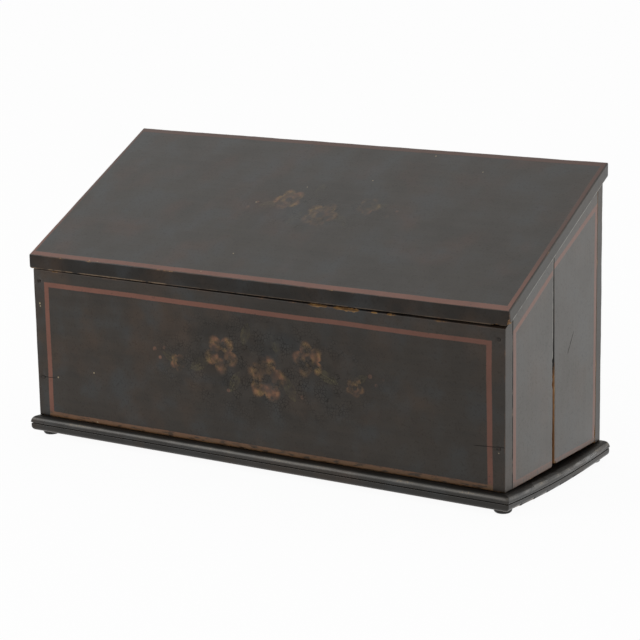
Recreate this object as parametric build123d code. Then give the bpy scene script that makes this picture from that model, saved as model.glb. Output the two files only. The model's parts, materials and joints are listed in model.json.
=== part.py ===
from build123d import *
import os
from math import cos, radians, sin, tan

# Slope-topped stationery box: six nailed carcase boards on a moulded base with four button feet,
# a hinged sloping lid and two stepped dividers held in slips.
# Millimetres. +X right, -Y front, +Z up. Origin: centre of the footprint, on the floor.
# Every function works from the carcase's middle; the assembly then moves x = 0 to the base's middle.

# ---- Driving dimensions: carcase ----
carcase_width = 420.0            # outside, across the front board
carcase_depth = 151.5            # outside, front board face to back board face
front_height = 118.0             # front board, at the middle of its outer face
front_top_fall = 1.4             # the front board is this much lower at its right end than at its left
slope_deg = 28.0                 # fall of the lid towards the front
front_board_thickness = 10.7
back_board_thickness = 8.5
side_thickness = 10.7
board_arris_radius = 0.8         # worn outer corners of the front and back boards
plank_arris_radius = 0.6         # worn outer upright corners of the side planks
front_plank_width = 61.9         # front plank of each side, along the depth
left_joint_gap = 0.2             # hairline between the two planks of the sound side
crack_top_width = 0.5            # open split of the right side, at the lid
crack_bottom_width = 3.4         # the same split, at the base
rear_plank_lift = 1.2            # rear planks end this far above the front planks

# ---- Driving dimensions: base and feet ----
base_thickness = 11.6
base_front_overhang = 8.0
base_left_overhang = 4.0         # the base was nailed on a little to the right of the carcase
base_right_overhang = 6.8
base_rear_overhang = 5.0
base_cup_sag = 2.5               # the board has cupped: its middle hangs this much lower
base_nose_height = 5.4           # upper member of the moulded edge, rounded over from the ledge
base_nose_top_radius = 4.6
base_nose_under_radius = 0.6
base_quirk_height = 0.7          # shallow groove under the nose
base_quirk_inset = 1.2
base_band_inset = 0.3            # lower member, almost flush with the nose
base_band_top_radius = 0.5
base_band_under_radius = 3.2
base_front_corner_radius = 1.5
base_rear_corner_radius = 2.5
foot_height = 3.8                # under the base, at the front and back boards
foot_diameter = 13.2
foot_sole_diameter = 10.6
foot_widest_height = 2.2         # above the floor
foot_inset_x = 5.7               # foot centre, in from the end of the carcase if the base were centred
foot_inset_y = 5.2               # foot centre, in from the front or back face
spigot_diameter = 6.0
spigot_length = 6.5              # up into the base, at the foot's centre

# ---- Driving dimensions: lid ----
lid_thickness = 9.2              # square to the slope
lid_side_overhang = 3.5
lid_front_overhang = 0.3
lid_rear_overhang = 1.5
lid_seat_gap = 0.25              # plumb, between the side boards and the closed lid
front_gap = 2.0                  # plumb, between the middle of the front board and the closed lid
lid_front_corner_radius = 1.6
lid_rear_corner_radius = 3.5
lid_top_arris_radius = 0.7
lid_under_arris_radius = 1.2

# ---- Driving dimensions: hinges ----
hinge_length = 38.0
hinge_centre_from_end = 82.0     # in from the end of the carcase
leaf_thickness = 1.0
leaf_width = 9.2                 # from the pin's centre to the leaf's far edge
barrel_radius = 2.2
pin_radius = 1.1
pin_head_length = 0.6
pin_running_clearance = 0.06     # radial
knuckle_count = 5
knuckle_gap = 0.3
barrel_clearance = 0.3           # radial, round the barrel in wood and in the other leaf
lid_stop_gap = 0.3               # between lid edge and back board with the lid thrown right back
screws_per_leaf = 3
screw_pitch = 13.0
screw_from_pin = 6.4
screw_head_radius = 1.9
screw_shank_radius = 1.0
screw_length = 6.4
screw_point_length = 1.6
screw_slot_width = 0.5
screw_slot_depth = 0.4
first_slot_angle = 25.0          # degrees, as the screws happened to stop
slot_angle_step = 50.0

# ---- Driving dimensions: nails ----
nail_head_width = 3.0
nail_head_depth = 2.2
nail_head_thickness = 1.0
nail_shank_width = 2.2
nail_shank_depth = 1.6
nail_point_width = 0.9
nail_length = 30.0
end_nail_first_height = 31.5     # above the bottom of the carcase
front_nail_top_margin = 8.5      # upper front nails, below the middle of the front board's top
back_nail_pitch = 70.0
front_nails_per_end = 2
back_nails_per_end = 3
base_nails_per_edge = 4
base_nail_pitch = 100.0
base_nail_proud = 0.1            # the heads stand this far out of the underside

# ---- Driving dimensions: dividers and slips ----
divider_thickness = 5.0
divider_end_clearance = 0.5
divider_slip_clearance = 0.15
divider_edge_radius = 1.5
front_compartment_depth = 40.0
middle_compartment_depth = 40.0
front_divider_height = 92.0      # above the bottom of the carcase
rear_divider_height = 140.0
slip_width = 6.0                 # along the depth of the box
slip_thickness = 5.0             # out from the side board
slip_below_divider = 6.0         # a slip stops this far below the divider's top

# ---- Derived places ----
slope = tan(radians(slope_deg))
slope_cos = cos(radians(slope_deg))
slope_sin = sin(radians(slope_deg))
hinge_behind_back = (lid_rear_overhang + lid_stop_gap) / 2
rear_projection = max(base_rear_overhang, lid_rear_overhang, hinge_behind_back + barrel_radius)
overall_depth = base_front_overhang + carcase_depth + rear_projection

half_width = carcase_width / 2
base_shift = (base_right_overhang - base_left_overhang) / 2
front_y = base_front_overhang - overall_depth / 2
back_y = front_y + carcase_depth
side_front_y = front_y + front_board_thickness
side_back_y = back_y - back_board_thickness
plank_joint_y = side_front_y + front_plank_width
inner_half_width = half_width - side_thickness
bottom_z = foot_height + base_thickness

hinge_y = back_y + hinge_behind_back
past = 20.0                      # how far a cutting solid runs past what it cuts
sameness = 0.1                   # positions this close count as one
parallel_cosine = 0.999          # directions with at least this cosine count as parallel


def seat_z(y):
    """Height of the side boards' sloping top edge at y."""
    return bottom_z + front_height + front_gap - lid_seat_gap + (y - front_y) * slope


def lid_under_z(y):
    """Height of the closed lid's underside at y."""
    return seat_z(y) + lid_seat_gap


hinge_z = seat_z(hinge_y) + lid_seat_gap / 2

# ---- Cup of the base: two arcs about one axis along X ----
cup_half_chord = carcase_depth / 2
cup_radius = (cup_half_chord**2 + base_cup_sag**2) / (2 * base_cup_sag)
cup_centre = (0, front_y + cup_half_chord, bottom_z - base_cup_sag + cup_radius)


def base_top_z(y):
    """Height of the cupped base's top face at y."""
    return cup_centre[2] - (cup_radius**2 - (y - cup_centre[1])**2)**0.5


def base_under_z(y):
    """Height of the cupped base's underside at y."""
    under_radius = cup_radius + base_thickness
    return cup_centre[2] - (under_radius**2 - (y - cup_centre[1])**2)**0.5


def prism_x(points, x_low, x_high):
    """A solid between two planes across X, from its (y, z) outline."""
    return extrude(Plane.YZ.offset(x_low) * Polygon(*points, align=None), amount=x_high - x_low)


def upright_edges(solid):
    """The vertical edges of a solid."""
    return solid.edges().filter_by(Axis.Z)


# ---- Nails ----
def cut_nail():
    """A square cut nail along -Z, its head's outer face at the origin."""
    neck = Plane.XY.offset(-nail_head_thickness)
    point = Plane.XY.offset(-nail_length)
    head = extrude(Rectangle(nail_head_width, nail_head_depth), amount=-nail_head_thickness)
    sections = [neck * Rectangle(nail_shank_width, nail_shank_depth),
                point * Rectangle(nail_point_width, nail_point_width)]
    return head + loft(sections)


def end_nails(side, face_y, direction, count, pitch):
    """Nails through the front or back board into the edge of one side."""
    x = side * (half_width - side_thickness / 2)
    heights = [bottom_z + end_nail_first_height + row * pitch for row in range(count)]
    planes = [Plane((x, face_y, z), x_dir=(1, 0, 0), z_dir=(0, direction, 0)) for z in heights]
    return [plane * cut_nail() for plane in planes]


def base_nails(board_y):
    """Nails up through the base into the bottom edge of the front or back board."""
    first_x = -base_nail_pitch * (base_nails_per_edge - 1) / 2
    z = base_under_z(board_y) - base_nail_proud
    places = [(first_x + step * base_nail_pitch, board_y, z) for step in range(base_nails_per_edge)]
    return [Plane(place, x_dir=(1, 0, 0), z_dir=(0, 0, -1)) * cut_nail() for place in places]


front_nail_pitch = (front_height - front_nail_top_margin - end_nail_first_height) / (front_nails_per_end - 1)
front_nails = {side: end_nails(side, front_y, -1, front_nails_per_end, front_nail_pitch)
               for side in (-1, 1)}
back_nails = {side: end_nails(side, back_y, 1, back_nails_per_end, back_nail_pitch)
              for side in (-1, 1)}
front_base_nails = base_nails(front_y + front_board_thickness / 2)
back_base_nails = base_nails(back_y - back_board_thickness / 2)


# ---- Hinges ----
def hinge_frame(side):
    """Frame at the middle of a hinge pin: X along the pin, Y up the slope, Z square to the lid."""
    x = side * (half_width - hinge_centre_from_end)
    return Plane((x, hinge_y, hinge_z), x_dir=(1, 0, 0), z_dir=(0, -slope_sin, slope_cos))


half_seat_gap = lid_seat_gap * slope_cos / 2
knuckle_length = (hinge_length - (knuckle_count - 1) * knuckle_gap) / knuckle_count


def rod_x(x_low, x_high, radius):
    """A round rod along X between two places."""
    return extrude(Plane.YZ.offset(x_low) * Circle(radius), amount=x_high - x_low)


def knuckle_spans(first):
    """Start and end along the pin of every other knuckle, from the first given."""
    step = knuckle_length + knuckle_gap
    starts = [-hinge_length / 2 + index * step for index in range(first, knuckle_count, 2)]
    return [(start, start + knuckle_length) for start in starts]


def screw_blank(leaf_side):
    """A countersunk screw without its slot, its head's face at the origin, driven into one leaf's wood."""
    outline = Polyline((0, 0), (screw_head_radius, 0), (screw_shank_radius, -leaf_thickness),
                       (screw_shank_radius, screw_point_length - screw_length),
                       (0, -screw_length), close=True)
    blank = revolve(Plane.XZ * make_face(outline), Axis.Z)
    return blank if leaf_side < 0 else mirror(blank, Plane.XY)


def screw_places(leaf_side):
    """Places of a leaf's screw heads in the hinge frame."""
    first_x = -screw_pitch * (screws_per_leaf - 1) / 2
    face = leaf_side * half_seat_gap
    return [(first_x + step * screw_pitch, -screw_from_pin, face) for step in range(screws_per_leaf)]


def leaf_screw_blanks(leaf_side):
    """The unslotted screws of a leaf, in the hinge frame."""
    return [Pos(*place) * screw_blank(leaf_side) for place in screw_places(leaf_side)]


def leaf_screws(leaf_side):
    """The slotted screws of a leaf, in the hinge frame, each turned a little further."""
    screws = []
    for turn, (place, blank) in enumerate(zip(screw_places(leaf_side), leaf_screw_blanks(leaf_side))):
        slot = Box(2 * screw_head_radius, screw_slot_width, 2 * screw_slot_depth)
        angle = first_slot_angle + turn * slot_angle_step
        screws.append(blank - Pos(*place) * Rot(0, 0, angle) * slot)
    return screws


def plate(leaf_side, over_rear=0.0, over_face=0.0):
    """A leaf's flat plate in the hinge frame, or the recess for it when it runs past its faces."""
    height = leaf_thickness + over_face
    centre_z = leaf_side * (half_seat_gap + leaf_thickness - height / 2)
    width = leaf_width + over_rear
    return Pos(0, over_rear / 2 - leaf_width / 2, centre_z) * Box(hinge_length, width, height)


def hinge_leaf(leaf_side, first_knuckle, bore_clearance):
    """One leaf in the hinge frame: plate, knuckles, pin bore and countersunk holes."""
    leaf = plate(leaf_side)
    for low, high in knuckle_spans(1 - first_knuckle):
        leaf -= rod_x(low - knuckle_gap, high + knuckle_gap, barrel_radius + barrel_clearance)
    for low, high in knuckle_spans(first_knuckle):
        leaf += rod_x(low, high, barrel_radius)
    leaf -= rod_x(-hinge_length, hinge_length, pin_radius + bore_clearance)
    for blank in leaf_screw_blanks(leaf_side):
        leaf -= blank
    return leaf


def hinge_pin():
    """The pin with its two low heads, in the hinge frame."""
    half = hinge_length / 2
    pin = rod_x(-half - pin_head_length, half + pin_head_length, pin_radius)
    return chamfer(pin.edges(), pin_head_length / 2)


def hinge_cuts(side, leaf_side):
    """What a hinge takes out of the wood: leaf recess, barrel hollow and screw holes."""
    frame = hinge_frame(side)
    half = hinge_length / 2 + knuckle_gap + pin_head_length
    cuts = [plate(leaf_side, past, past), rod_x(-half, half, barrel_radius + barrel_clearance)]
    return [frame * cut for cut in cuts + leaf_screw_blanks(leaf_side)]


# ---- Carcase boards ----
def front_board():
    """The front board, its top edge bevelled to the slope, out of level and a little under the lid."""
    top_z = bottom_z + front_height
    outline = [(front_y, bottom_z), (side_front_y, bottom_z),
               (side_front_y, top_z + past), (front_y, top_z + past)]
    board = prism_x(outline, -half_width, half_width)
    planed = Plane((0, front_y, top_z), x_dir=(1, 0, -front_top_fall / carcase_width),
                   z_dir=(front_top_fall / carcase_width, -slope, 1))
    board = split(board, planed, Keep.BOTTOM)
    front_edges = board.edges().filter_by_position(Axis.Y, front_y - sameness, front_y + sameness)
    bottom_edge = front_edges.sort_by(Axis.Z)[0]
    board = fillet([edge for edge in front_edges if edge != bottom_edge], board_arris_radius)
    for nail in front_nails[-1] + front_nails[1] + front_base_nails:
        board -= nail
    return board


def back_board():
    """The back board, bevelled to the slope, with the two hinges let into its top edge."""
    outline = [(side_back_y, bottom_z), (back_y, bottom_z),
               (back_y, seat_z(back_y)), (side_back_y, seat_z(side_back_y))]
    board = prism_x(outline, -half_width, half_width)
    rear_uprights = upright_edges(board).group_by(Axis.Y)[-1]
    board = fillet(rear_uprights, board_arris_radius)
    for nail in back_nails[-1] + back_nails[1] + back_base_nails:
        board -= nail
    for side in (-1, 1):
        for cut in hinge_cuts(side, -1):
            board -= cut
    return board


def side_plank(side, is_front, gap_top, gap_bottom):
    """One of the two upright-grained planks of a side; the rear one keeps clear of the joint's gap."""
    if is_front:
        low_z = bottom_z
        outline = [(side_front_y, low_z), (plank_joint_y, low_z),
                   (plank_joint_y, seat_z(plank_joint_y)), (side_front_y, seat_z(side_front_y))]
    else:
        low_z = bottom_z + rear_plank_lift
        edge_low_y = plank_joint_y + gap_bottom
        edge_high_y = plank_joint_y + gap_top
        outline = [(edge_low_y, low_z), (side_back_y, low_z),
                   (side_back_y, seat_z(side_back_y)), (edge_high_y, seat_z(edge_high_y))]
    plank = prism_x(outline, *sorted((side * inner_half_width, side * half_width)))
    outer_face = plank.faces().sort_by(Axis.X)[-1 if side > 0 else 0]
    joint_edges = [edge for edge in outer_face.edges() if abs(edge.tangent_at(0).Z) > parallel_cosine]
    plank = fillet(joint_edges, plank_arris_radius)
    for nail in front_nails[side] if is_front else back_nails[side]:
        plank -= nail
    return plank


# ---- Base and feet ----
def plan_outline(inset):
    """The base's plan, drawn in by an inset, with sharper corners in front."""
    x_low = -half_width - base_left_overhang + inset
    x_high = half_width + base_right_overhang - inset
    y_low = front_y - base_front_overhang + inset
    y_high = back_y + base_rear_overhang - inset
    plan = Rectangle(x_high - x_low, y_high - y_low)
    plan = Pos((x_low + x_high) / 2, (y_low + y_high) / 2) * plan
    corners = plan.vertices().group_by(Axis.Y)
    plan = fillet(corners[0], base_front_corner_radius)
    return fillet(plan.vertices().group_by(Axis.Y)[-1], base_rear_corner_radius)


def cupped_layer(top_depth, under_depth, inset):
    """The slice of the cupped base between two depths below its top face."""
    axis_frame = Plane(cup_centre, x_dir=(0, 1, 0), z_dir=(1, 0, 0))
    ring = Circle(cup_radius + under_depth) - Circle(cup_radius + top_depth)
    shell = extrude(axis_frame * ring, amount=carcase_width, both=True)
    block = extrude(plan_outline(inset), amount=bottom_z + past)
    return shell & block


def cupped_faces(layer):
    """A layer's underside and its top face, in that order."""
    curved = layer.faces().filter_by(GeomType.CYLINDER)
    broad = curved.sort_by(SortBy.AREA)[-2:]
    return broad.sort_by(Axis.Z)


def rounded_layer(top_depth, under_depth, inset, top_radius, under_radius):
    """A layer rounded over all round its top face and all round its underside."""
    layer = cupped_layer(top_depth, under_depth, inset)
    layer = fillet(cupped_faces(layer)[1].edges(), top_radius)
    return fillet(cupped_faces(layer)[0].edges(), under_radius)


def base_board():
    """The cupped base: rounded nose, groove and lower band, drilled for the feet and nailed."""
    quirk_depth = base_nose_height + base_quirk_height
    nose = rounded_layer(0, base_nose_height, 0, base_nose_top_radius, base_nose_under_radius)
    quirk = cupped_layer(base_nose_height, quirk_depth, base_quirk_inset)
    band = rounded_layer(quirk_depth, base_thickness, base_band_inset,
                         base_band_top_radius, base_band_under_radius)
    board = nose + quirk + band
    for x, y in foot_places.values():
        board -= foot_spigot(x, y)
    for nail in front_base_nails + back_base_nails:
        board -= nail
    return board


foot_reach = half_width - foot_inset_x
foot_places = {
    "front_left": (base_shift - foot_reach, front_y + foot_inset_y),
    "front_right": (base_shift + foot_reach, front_y + foot_inset_y),
    "rear_left": (base_shift - foot_reach, back_y - foot_inset_y),
    "rear_right": (base_shift + foot_reach, back_y - foot_inset_y),
}


def foot_spigot(x, y):
    """The part of a foot that stands in the base."""
    return Pos(x, y, 0) * extrude(Circle(spigot_diameter / 2), amount=base_under_z(y) + spigot_length)


def foot(x, y, board):
    """A turned button foot, scribed to the base's underside, with its spigot."""
    rim = foot_diameter / 2
    sole = foot_sole_diameter / 2
    top_z = base_under_z(y) + base_cup_sag
    belly = TangentArc((rim, foot_widest_height), (sole, 0), tangent=(0, -1))
    upper = Polyline((sole, 0), (0, 0), (0, top_z), (rim, top_z), (rim, foot_widest_height))
    button = revolve(Plane.XZ * make_face([belly, upper]), Axis.Z)
    return Pos(x, y, 0) * button - board + foot_spigot(x, y)


# ---- Lid ----
def lid_board():
    """The lid: one board on the slope with plumb edges and softened corners."""
    low_y = front_y - lid_front_overhang
    high_y = back_y + lid_rear_overhang
    plumb = lid_thickness / slope_cos
    outline = [(low_y, lid_under_z(low_y)), (high_y, lid_under_z(high_y)),
               (high_y, lid_under_z(high_y) + plumb), (low_y, lid_under_z(low_y) + plumb)]
    reach = half_width + lid_side_overhang
    board = prism_x(outline, -reach, reach)
    board = fillet(upright_edges(board).group_by(Axis.Y)[0], lid_front_corner_radius)
    board = fillet(upright_edges(board).group_by(Axis.Y)[-1], lid_rear_corner_radius)
    top_edges, under_edges = lid_face_edges(board)
    board = fillet(under_edges, lid_under_arris_radius)
    board = fillet(lid_face_edges(board)[0], lid_top_arris_radius)
    for side in (-1, 1):
        for cut in hinge_cuts(side, 1):
            board -= cut
    return board


def lid_face_edges(board):
    """The edges round the lid's top face and round its underside."""
    slope_up = Vector(0, -slope_sin, slope_cos)
    sloping = [face for face in board.faces().filter_by(GeomType.PLANE)
               if abs(face.normal_at().dot(slope_up)) > parallel_cosine]
    ordered = sorted(sloping, key=lambda face: face.center().dot(slope_up))
    return ordered[-1].edges(), ordered[0].edges()


# ---- Dividers and their slips ----
divider_front_faces = {
    "front": side_front_y + front_compartment_depth,
    "rear": side_front_y + front_compartment_depth + divider_thickness + middle_compartment_depth,
}
divider_heights = {"front": front_divider_height, "rear": rear_divider_height}


def divider(name):
    """A thin upright board that stands on the base between its slips."""
    face_y = divider_front_faces[name]
    stand_z = max(base_top_z(face_y), base_top_z(face_y + divider_thickness))
    top_z = bottom_z + divider_heights[name]
    reach = inner_half_width - divider_end_clearance
    outline = [(face_y, stand_z), (face_y + divider_thickness, stand_z),
               (face_y + divider_thickness, top_z), (face_y, top_z)]
    board = prism_x(outline, -reach, reach)
    top_long_edges = board.edges().filter_by(Axis.X).group_by(Axis.Z)[-1]
    return fillet(top_long_edges, divider_edge_radius)


def slip(name, side, is_before):
    """One strip on a side board, before or behind a divider."""
    face_y = divider_front_faces[name]
    if is_before:
        low_y = face_y - divider_slip_clearance - slip_width
    else:
        low_y = face_y + divider_thickness + divider_slip_clearance
    top_z = bottom_z + divider_heights[name] - slip_below_divider
    outline = [(low_y, bottom_z), (low_y + slip_width, bottom_z),
               (low_y + slip_width, top_z), (low_y, top_z)]
    inner_x = inner_half_width - slip_thickness
    return prism_x(outline, *sorted((side * inner_x, side * inner_half_width)))


# ---- Assembly: one entry for each node ----
nodes = {
    "front_board": front_board(),
    "back_board": back_board(),
    "base_board": base_board(),
    "lid_board": lid_board(),
    "front_divider": divider("front"),
    "rear_divider": divider("rear"),
    "base_nails_front": Compound(front_base_nails),
    "base_nails_rear": Compound(back_base_nails),
}
joint_gaps = {-1: (left_joint_gap, left_joint_gap), 1: (crack_top_width, crack_bottom_width)}
for side, hand in ((-1, "left"), (1, "right")):
    nodes[f"{hand}_side_front_plank"] = side_plank(side, True, *joint_gaps[side])
    nodes[f"{hand}_side_rear_plank"] = side_plank(side, False, *joint_gaps[side])
    nodes[f"front_nails_{hand}"] = Compound(front_nails[side])
    nodes[f"back_nails_{hand}"] = Compound(back_nails[side])
    for name in divider_heights:
        nodes[f"{hand}_slip_before_{name}_divider"] = slip(name, side, True)
        nodes[f"{hand}_slip_behind_{name}_divider"] = slip(name, side, False)
    frame = hinge_frame(side)
    nodes[f"hinge_{hand}_box_leaf"] = frame * hinge_leaf(-1, 0, 0)
    nodes[f"hinge_{hand}_lid_leaf"] = frame * hinge_leaf(1, 1, pin_running_clearance)
    nodes[f"hinge_{hand}_pin"] = frame * hinge_pin()
    nodes[f"hinge_{hand}_box_screws"] = Compound([frame * screw for screw in leaf_screws(-1)])
    nodes[f"hinge_{hand}_lid_screws"] = Compound([frame * screw for screw in leaf_screws(1)])
for name, place in foot_places.items():
    nodes[f"foot_{name}"] = foot(*place, nodes["base_board"])

to_base_middle = Pos(-base_shift, 0, 0)
os.makedirs("parts", exist_ok=True)
for name, shape in nodes.items():
    export_step(to_base_middle * shape, f"parts/{name}.step")
print(f"{len(nodes)} nodes, lid pin at y {hinge_y:.4f} z {hinge_z:.4f}, carcase bottom at {bottom_z:.2f}")
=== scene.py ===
"""Dresses a slope-topped stationery box: worn painted boards, bare pine inside, and old brass and iron.

Lengths are in millimetres until a mesh, a lamp or the camera is made, which is where they turn into metres.
"""

import json
import logging
import math
from abc import ABC, abstractmethod
from collections.abc import Callable, Iterable, Sequence
from dataclasses import dataclass, field, replace
from enum import Enum
from functools import reduce
from typing import Any

import bmesh
import bpy
import numpy as np
from mathutils import Matrix, Vector, noise

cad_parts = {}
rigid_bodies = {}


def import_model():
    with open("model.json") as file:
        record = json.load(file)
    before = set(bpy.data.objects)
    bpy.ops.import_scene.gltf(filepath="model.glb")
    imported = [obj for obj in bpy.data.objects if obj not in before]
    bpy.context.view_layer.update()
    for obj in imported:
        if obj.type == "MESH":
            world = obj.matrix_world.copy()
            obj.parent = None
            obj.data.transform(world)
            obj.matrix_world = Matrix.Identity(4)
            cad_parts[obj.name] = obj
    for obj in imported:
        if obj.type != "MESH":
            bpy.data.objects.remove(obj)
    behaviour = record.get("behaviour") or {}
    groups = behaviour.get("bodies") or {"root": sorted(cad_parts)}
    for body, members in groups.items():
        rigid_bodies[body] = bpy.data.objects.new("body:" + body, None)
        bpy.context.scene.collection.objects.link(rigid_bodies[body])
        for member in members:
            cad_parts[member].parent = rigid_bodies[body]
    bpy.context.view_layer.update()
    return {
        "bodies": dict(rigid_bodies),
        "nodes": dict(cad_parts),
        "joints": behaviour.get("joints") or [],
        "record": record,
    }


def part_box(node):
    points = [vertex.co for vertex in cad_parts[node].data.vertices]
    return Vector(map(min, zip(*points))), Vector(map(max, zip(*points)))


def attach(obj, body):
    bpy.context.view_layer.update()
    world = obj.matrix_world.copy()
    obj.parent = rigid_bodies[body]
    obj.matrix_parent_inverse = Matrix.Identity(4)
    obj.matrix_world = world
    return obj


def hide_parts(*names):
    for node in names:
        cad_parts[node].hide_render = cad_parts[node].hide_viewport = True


log = logging.getLogger("stationery_box")

MM = 0.001
Colour = tuple[float, float, float]
Triple = tuple[float, float, float]
Spot = tuple[float, float]
Feed = Any


def tint(code: str) -> Colour:
    """Linear colour of a six-figure screen colour such as "7a5046"."""
    parts = [int(code[at : at + 2], 16) / 255 for at in (0, 2, 4)]
    return tuple(((part + 0.055) / 1.055) ** 2.4 if part > 0.04045 else part / 12.92 for part in parts)


# ---------------------------------------------------------------------------
# Mixing finishes: shader values that can be added, scaled and compared
# ---------------------------------------------------------------------------


class Wire:
    """One output of a shader node, with arithmetic that adds Math nodes."""

    def __init__(self, recipe: "Recipe", socket: bpy.types.NodeSocket) -> None:
        """Wraps a socket of a recipe's tree."""
        self.recipe = recipe
        self.socket = socket

    def _maths(self, operation: str, *values: Feed) -> "Wire":
        """Adds a Math node over the values and returns its result."""
        feeds = dict(zip(("Value", "Value_001", "Value_002"), values))
        return self.recipe.node("ShaderNodeMath", {"operation": operation}, feeds)["Value"]

    def __add__(self, other: Feed) -> "Wire":
        """This value plus another."""
        return self._maths("ADD", self, other)

    def __sub__(self, other: Feed) -> "Wire":
        """This value less another."""
        return self._maths("SUBTRACT", self, other)

    def __rsub__(self, other: Feed) -> "Wire":
        """Another value less this one."""
        return self._maths("SUBTRACT", other, self)

    def __mul__(self, other: Feed) -> "Wire":
        """This value times another."""
        return self._maths("MULTIPLY", self, other)

    def __truediv__(self, other: Feed) -> "Wire":
        """This value divided by another."""
        return self._maths("DIVIDE", self, other)

    def size(self) -> "Wire":
        """This value without its sign."""
        return self._maths("ABSOLUTE", self)

    def least(self, other: Feed) -> "Wire":
        """The smaller of this value and another."""
        return self._maths("MINIMUM", self, other)

    def most(self, other: Feed) -> "Wire":
        """The larger of this value and another."""
        return self._maths("MAXIMUM", self, other)

    def power(self, exponent: float) -> "Wire":
        """This value raised to a power."""
        return self._maths("POWER", self, exponent)

    def span(self, other: "Wire") -> "Wire":
        """The long side of the triangle whose short sides are this value and another."""
        return (self * self + other * other).power(0.5)

    def cosine(self) -> "Wire":
        """The cosine of this value."""
        return self._maths("COSINE", self)

    def turned(self, across: "Wire") -> "Wire":
        """The angle of the point with this height and that distance across."""
        return self._maths("ARCTAN2", self, across)

    def rise(self, low: Feed, high: Feed) -> "Wire":
        """A smooth step: 0 where this value is low, 1 where it is high, either way round.

        Args:
            low: The value that gives 0.
            high: The value that gives 1; it may be below low.

        Returns:
            A value between 0 and 1.
        """
        feeds = {"Value": self, "From Min": low, "From Max": high}
        return self.recipe.node("ShaderNodeMapRange", {"interpolation_type": "SMOOTHSTEP"}, feeds)["Result"]


class Added:
    """A node that a recipe has added, whose outputs are read by name."""

    def __init__(self, recipe: "Recipe", node: bpy.types.Node) -> None:
        """Keeps the node and the recipe that it belongs to."""
        self.recipe = recipe
        self.node = node

    def __getitem__(self, name: str) -> Wire:
        """The output with that identifier, or else with that name."""
        return Wire(self.recipe, _socket(self.node.outputs, name))


def _socket(sockets: Iterable[bpy.types.NodeSocket], name: str) -> bpy.types.NodeSocket:
    """Finds a socket by its identifier, or else by its name.

    Args:
        sockets: A node's inputs or outputs.
        name: The identifier, such as "Value_001", or the name, such as "Base Color".

    Returns:
        The first socket that matches.
    """
    found = [socket for socket in sockets if socket.identifier == name]
    found = found or [socket for socket in sockets if socket.name == name]
    return found[0]


class Recipe:
    """The node tree of one material or of the surround, with a short way to add each kind of node."""

    def __init__(self, tree: bpy.types.NodeTree, material: bpy.types.Material | None = None) -> None:
        """Starts from an empty tree."""
        self.tree = tree
        self.material = material
        tree.nodes.clear()

    @classmethod
    def for_material(cls, name: str) -> "Recipe":
        """A recipe for a new material of that name.

        Args:
            name: What the material is called.

        Returns:
            The recipe, with its tree still empty.
        """
        material = bpy.data.materials.new(name)
        material.use_nodes = True
        return cls(material.node_tree, material)

    def node(self, kind: str, settings: dict[str, Any] | None = None, feeds: dict[str, Feed] | None = None) -> Added:
        """Adds a node: its settings first, then the values or links of its sockets.

        Args:
            kind: The node's type.
            settings: Its properties.
            feeds: What each input takes: a Wire, a number or a tuple.

        Returns:
            The node, for its outputs.
        """
        node = self.tree.nodes.new(kind)
        for name, value in (settings or {}).items():
            setattr(node, name, value)
        for name, value in (feeds or {}).items():
            socket = _socket(node.inputs, name)
            if isinstance(value, Wire):
                self.tree.links.new(value.socket, socket)
            elif socket.type == "RGBA" and len(value) == 3:
                socket.default_value = (*value, 1.0)
            else:
                socket.default_value = value
        return Added(self, node)

    def vector(self, operation: str, first: Feed, second: Feed, output: str = "Vector") -> Wire:
        """Adds a vector Math node over two vectors and returns one of its outputs."""
        feeds = {"Vector": first, "Vector_001": second}
        return self.node("ShaderNodeVectorMath", {"operation": operation}, feeds)[output]

    def marked(self, name: str) -> Wire:
        """A value that the mesh carries at its vertices."""
        return self.node("ShaderNodeAttribute", {"attribute_name": name})["Fac"]

    def blend(self, low: Feed, high: Feed, share: Feed) -> Wire:
        """A colour between two, by a share from 0 to 1."""
        feeds = {"Factor_Float": share, "A_Color": low, "B_Color": high}
        return self.node("ShaderNodeMix", {"data_type": "RGBA"}, feeds)["Result_Color"]

    def toned(self, colour: Feed, gain: Feed) -> Wire:
        """A colour made lighter or darker by a gain, the same for its three parts."""
        feeds = {"Vector": colour, "Scale": gain}
        return self.node("ShaderNodeVectorMath", {"operation": "SCALE"}, feeds)["Vector"]

    def relief(self, height: Wire) -> Wire:
        """The normal that a height in millimetres gives."""
        feeds = {"Strength": 1.0, "Distance": MM, "Height": height}
        return self.node("ShaderNodeBump", feeds=feeds)["Normal"]

    def finish(self, feeds: dict[str, Feed]) -> bpy.types.Material:
        """Ends the recipe in one surface shader.

        Args:
            feeds: What each input of the shader takes.

        Returns:
            The material that the recipe belongs to.
        """
        shader = self.node("ShaderNodeBsdfPrincipled", feeds=feeds)["BSDF"]
        self.node("ShaderNodeOutputMaterial", feeds={"Surface": shader})
        return self.material


class Way(Enum):
    """Which way the grain and the brush strokes of a piece run."""

    WIDE = (1.0, 0.0, 0.0)
    DEEP = (0.0, 1.0, 0.0)
    TALL = (0.0, 0.0, 1.0)


@dataclass(frozen=True)
class FacePlane:
    """The flat outer face of a board, with the two directions that its decoration is measured along."""

    origin: Triple
    across: Triple
    up: Triple
    out: Triple

    def direction(self, s: float, t: float) -> Triple:
        """The direction in space of a direction on the face."""
        return tuple(s * a + t * u for a, u in zip(self.across, self.up))

    def spot(self, point: Spot) -> Triple:
        """The point in space at a place on the face."""
        return tuple(o + part for o, part in zip(self.origin, self.direction(*point)))


@dataclass(frozen=True)
class Patches:
    """A soft pattern: its size in millimetres, its finer layers, and the values where it starts and is full."""

    size: float
    detail: float
    low: float
    high: float


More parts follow.
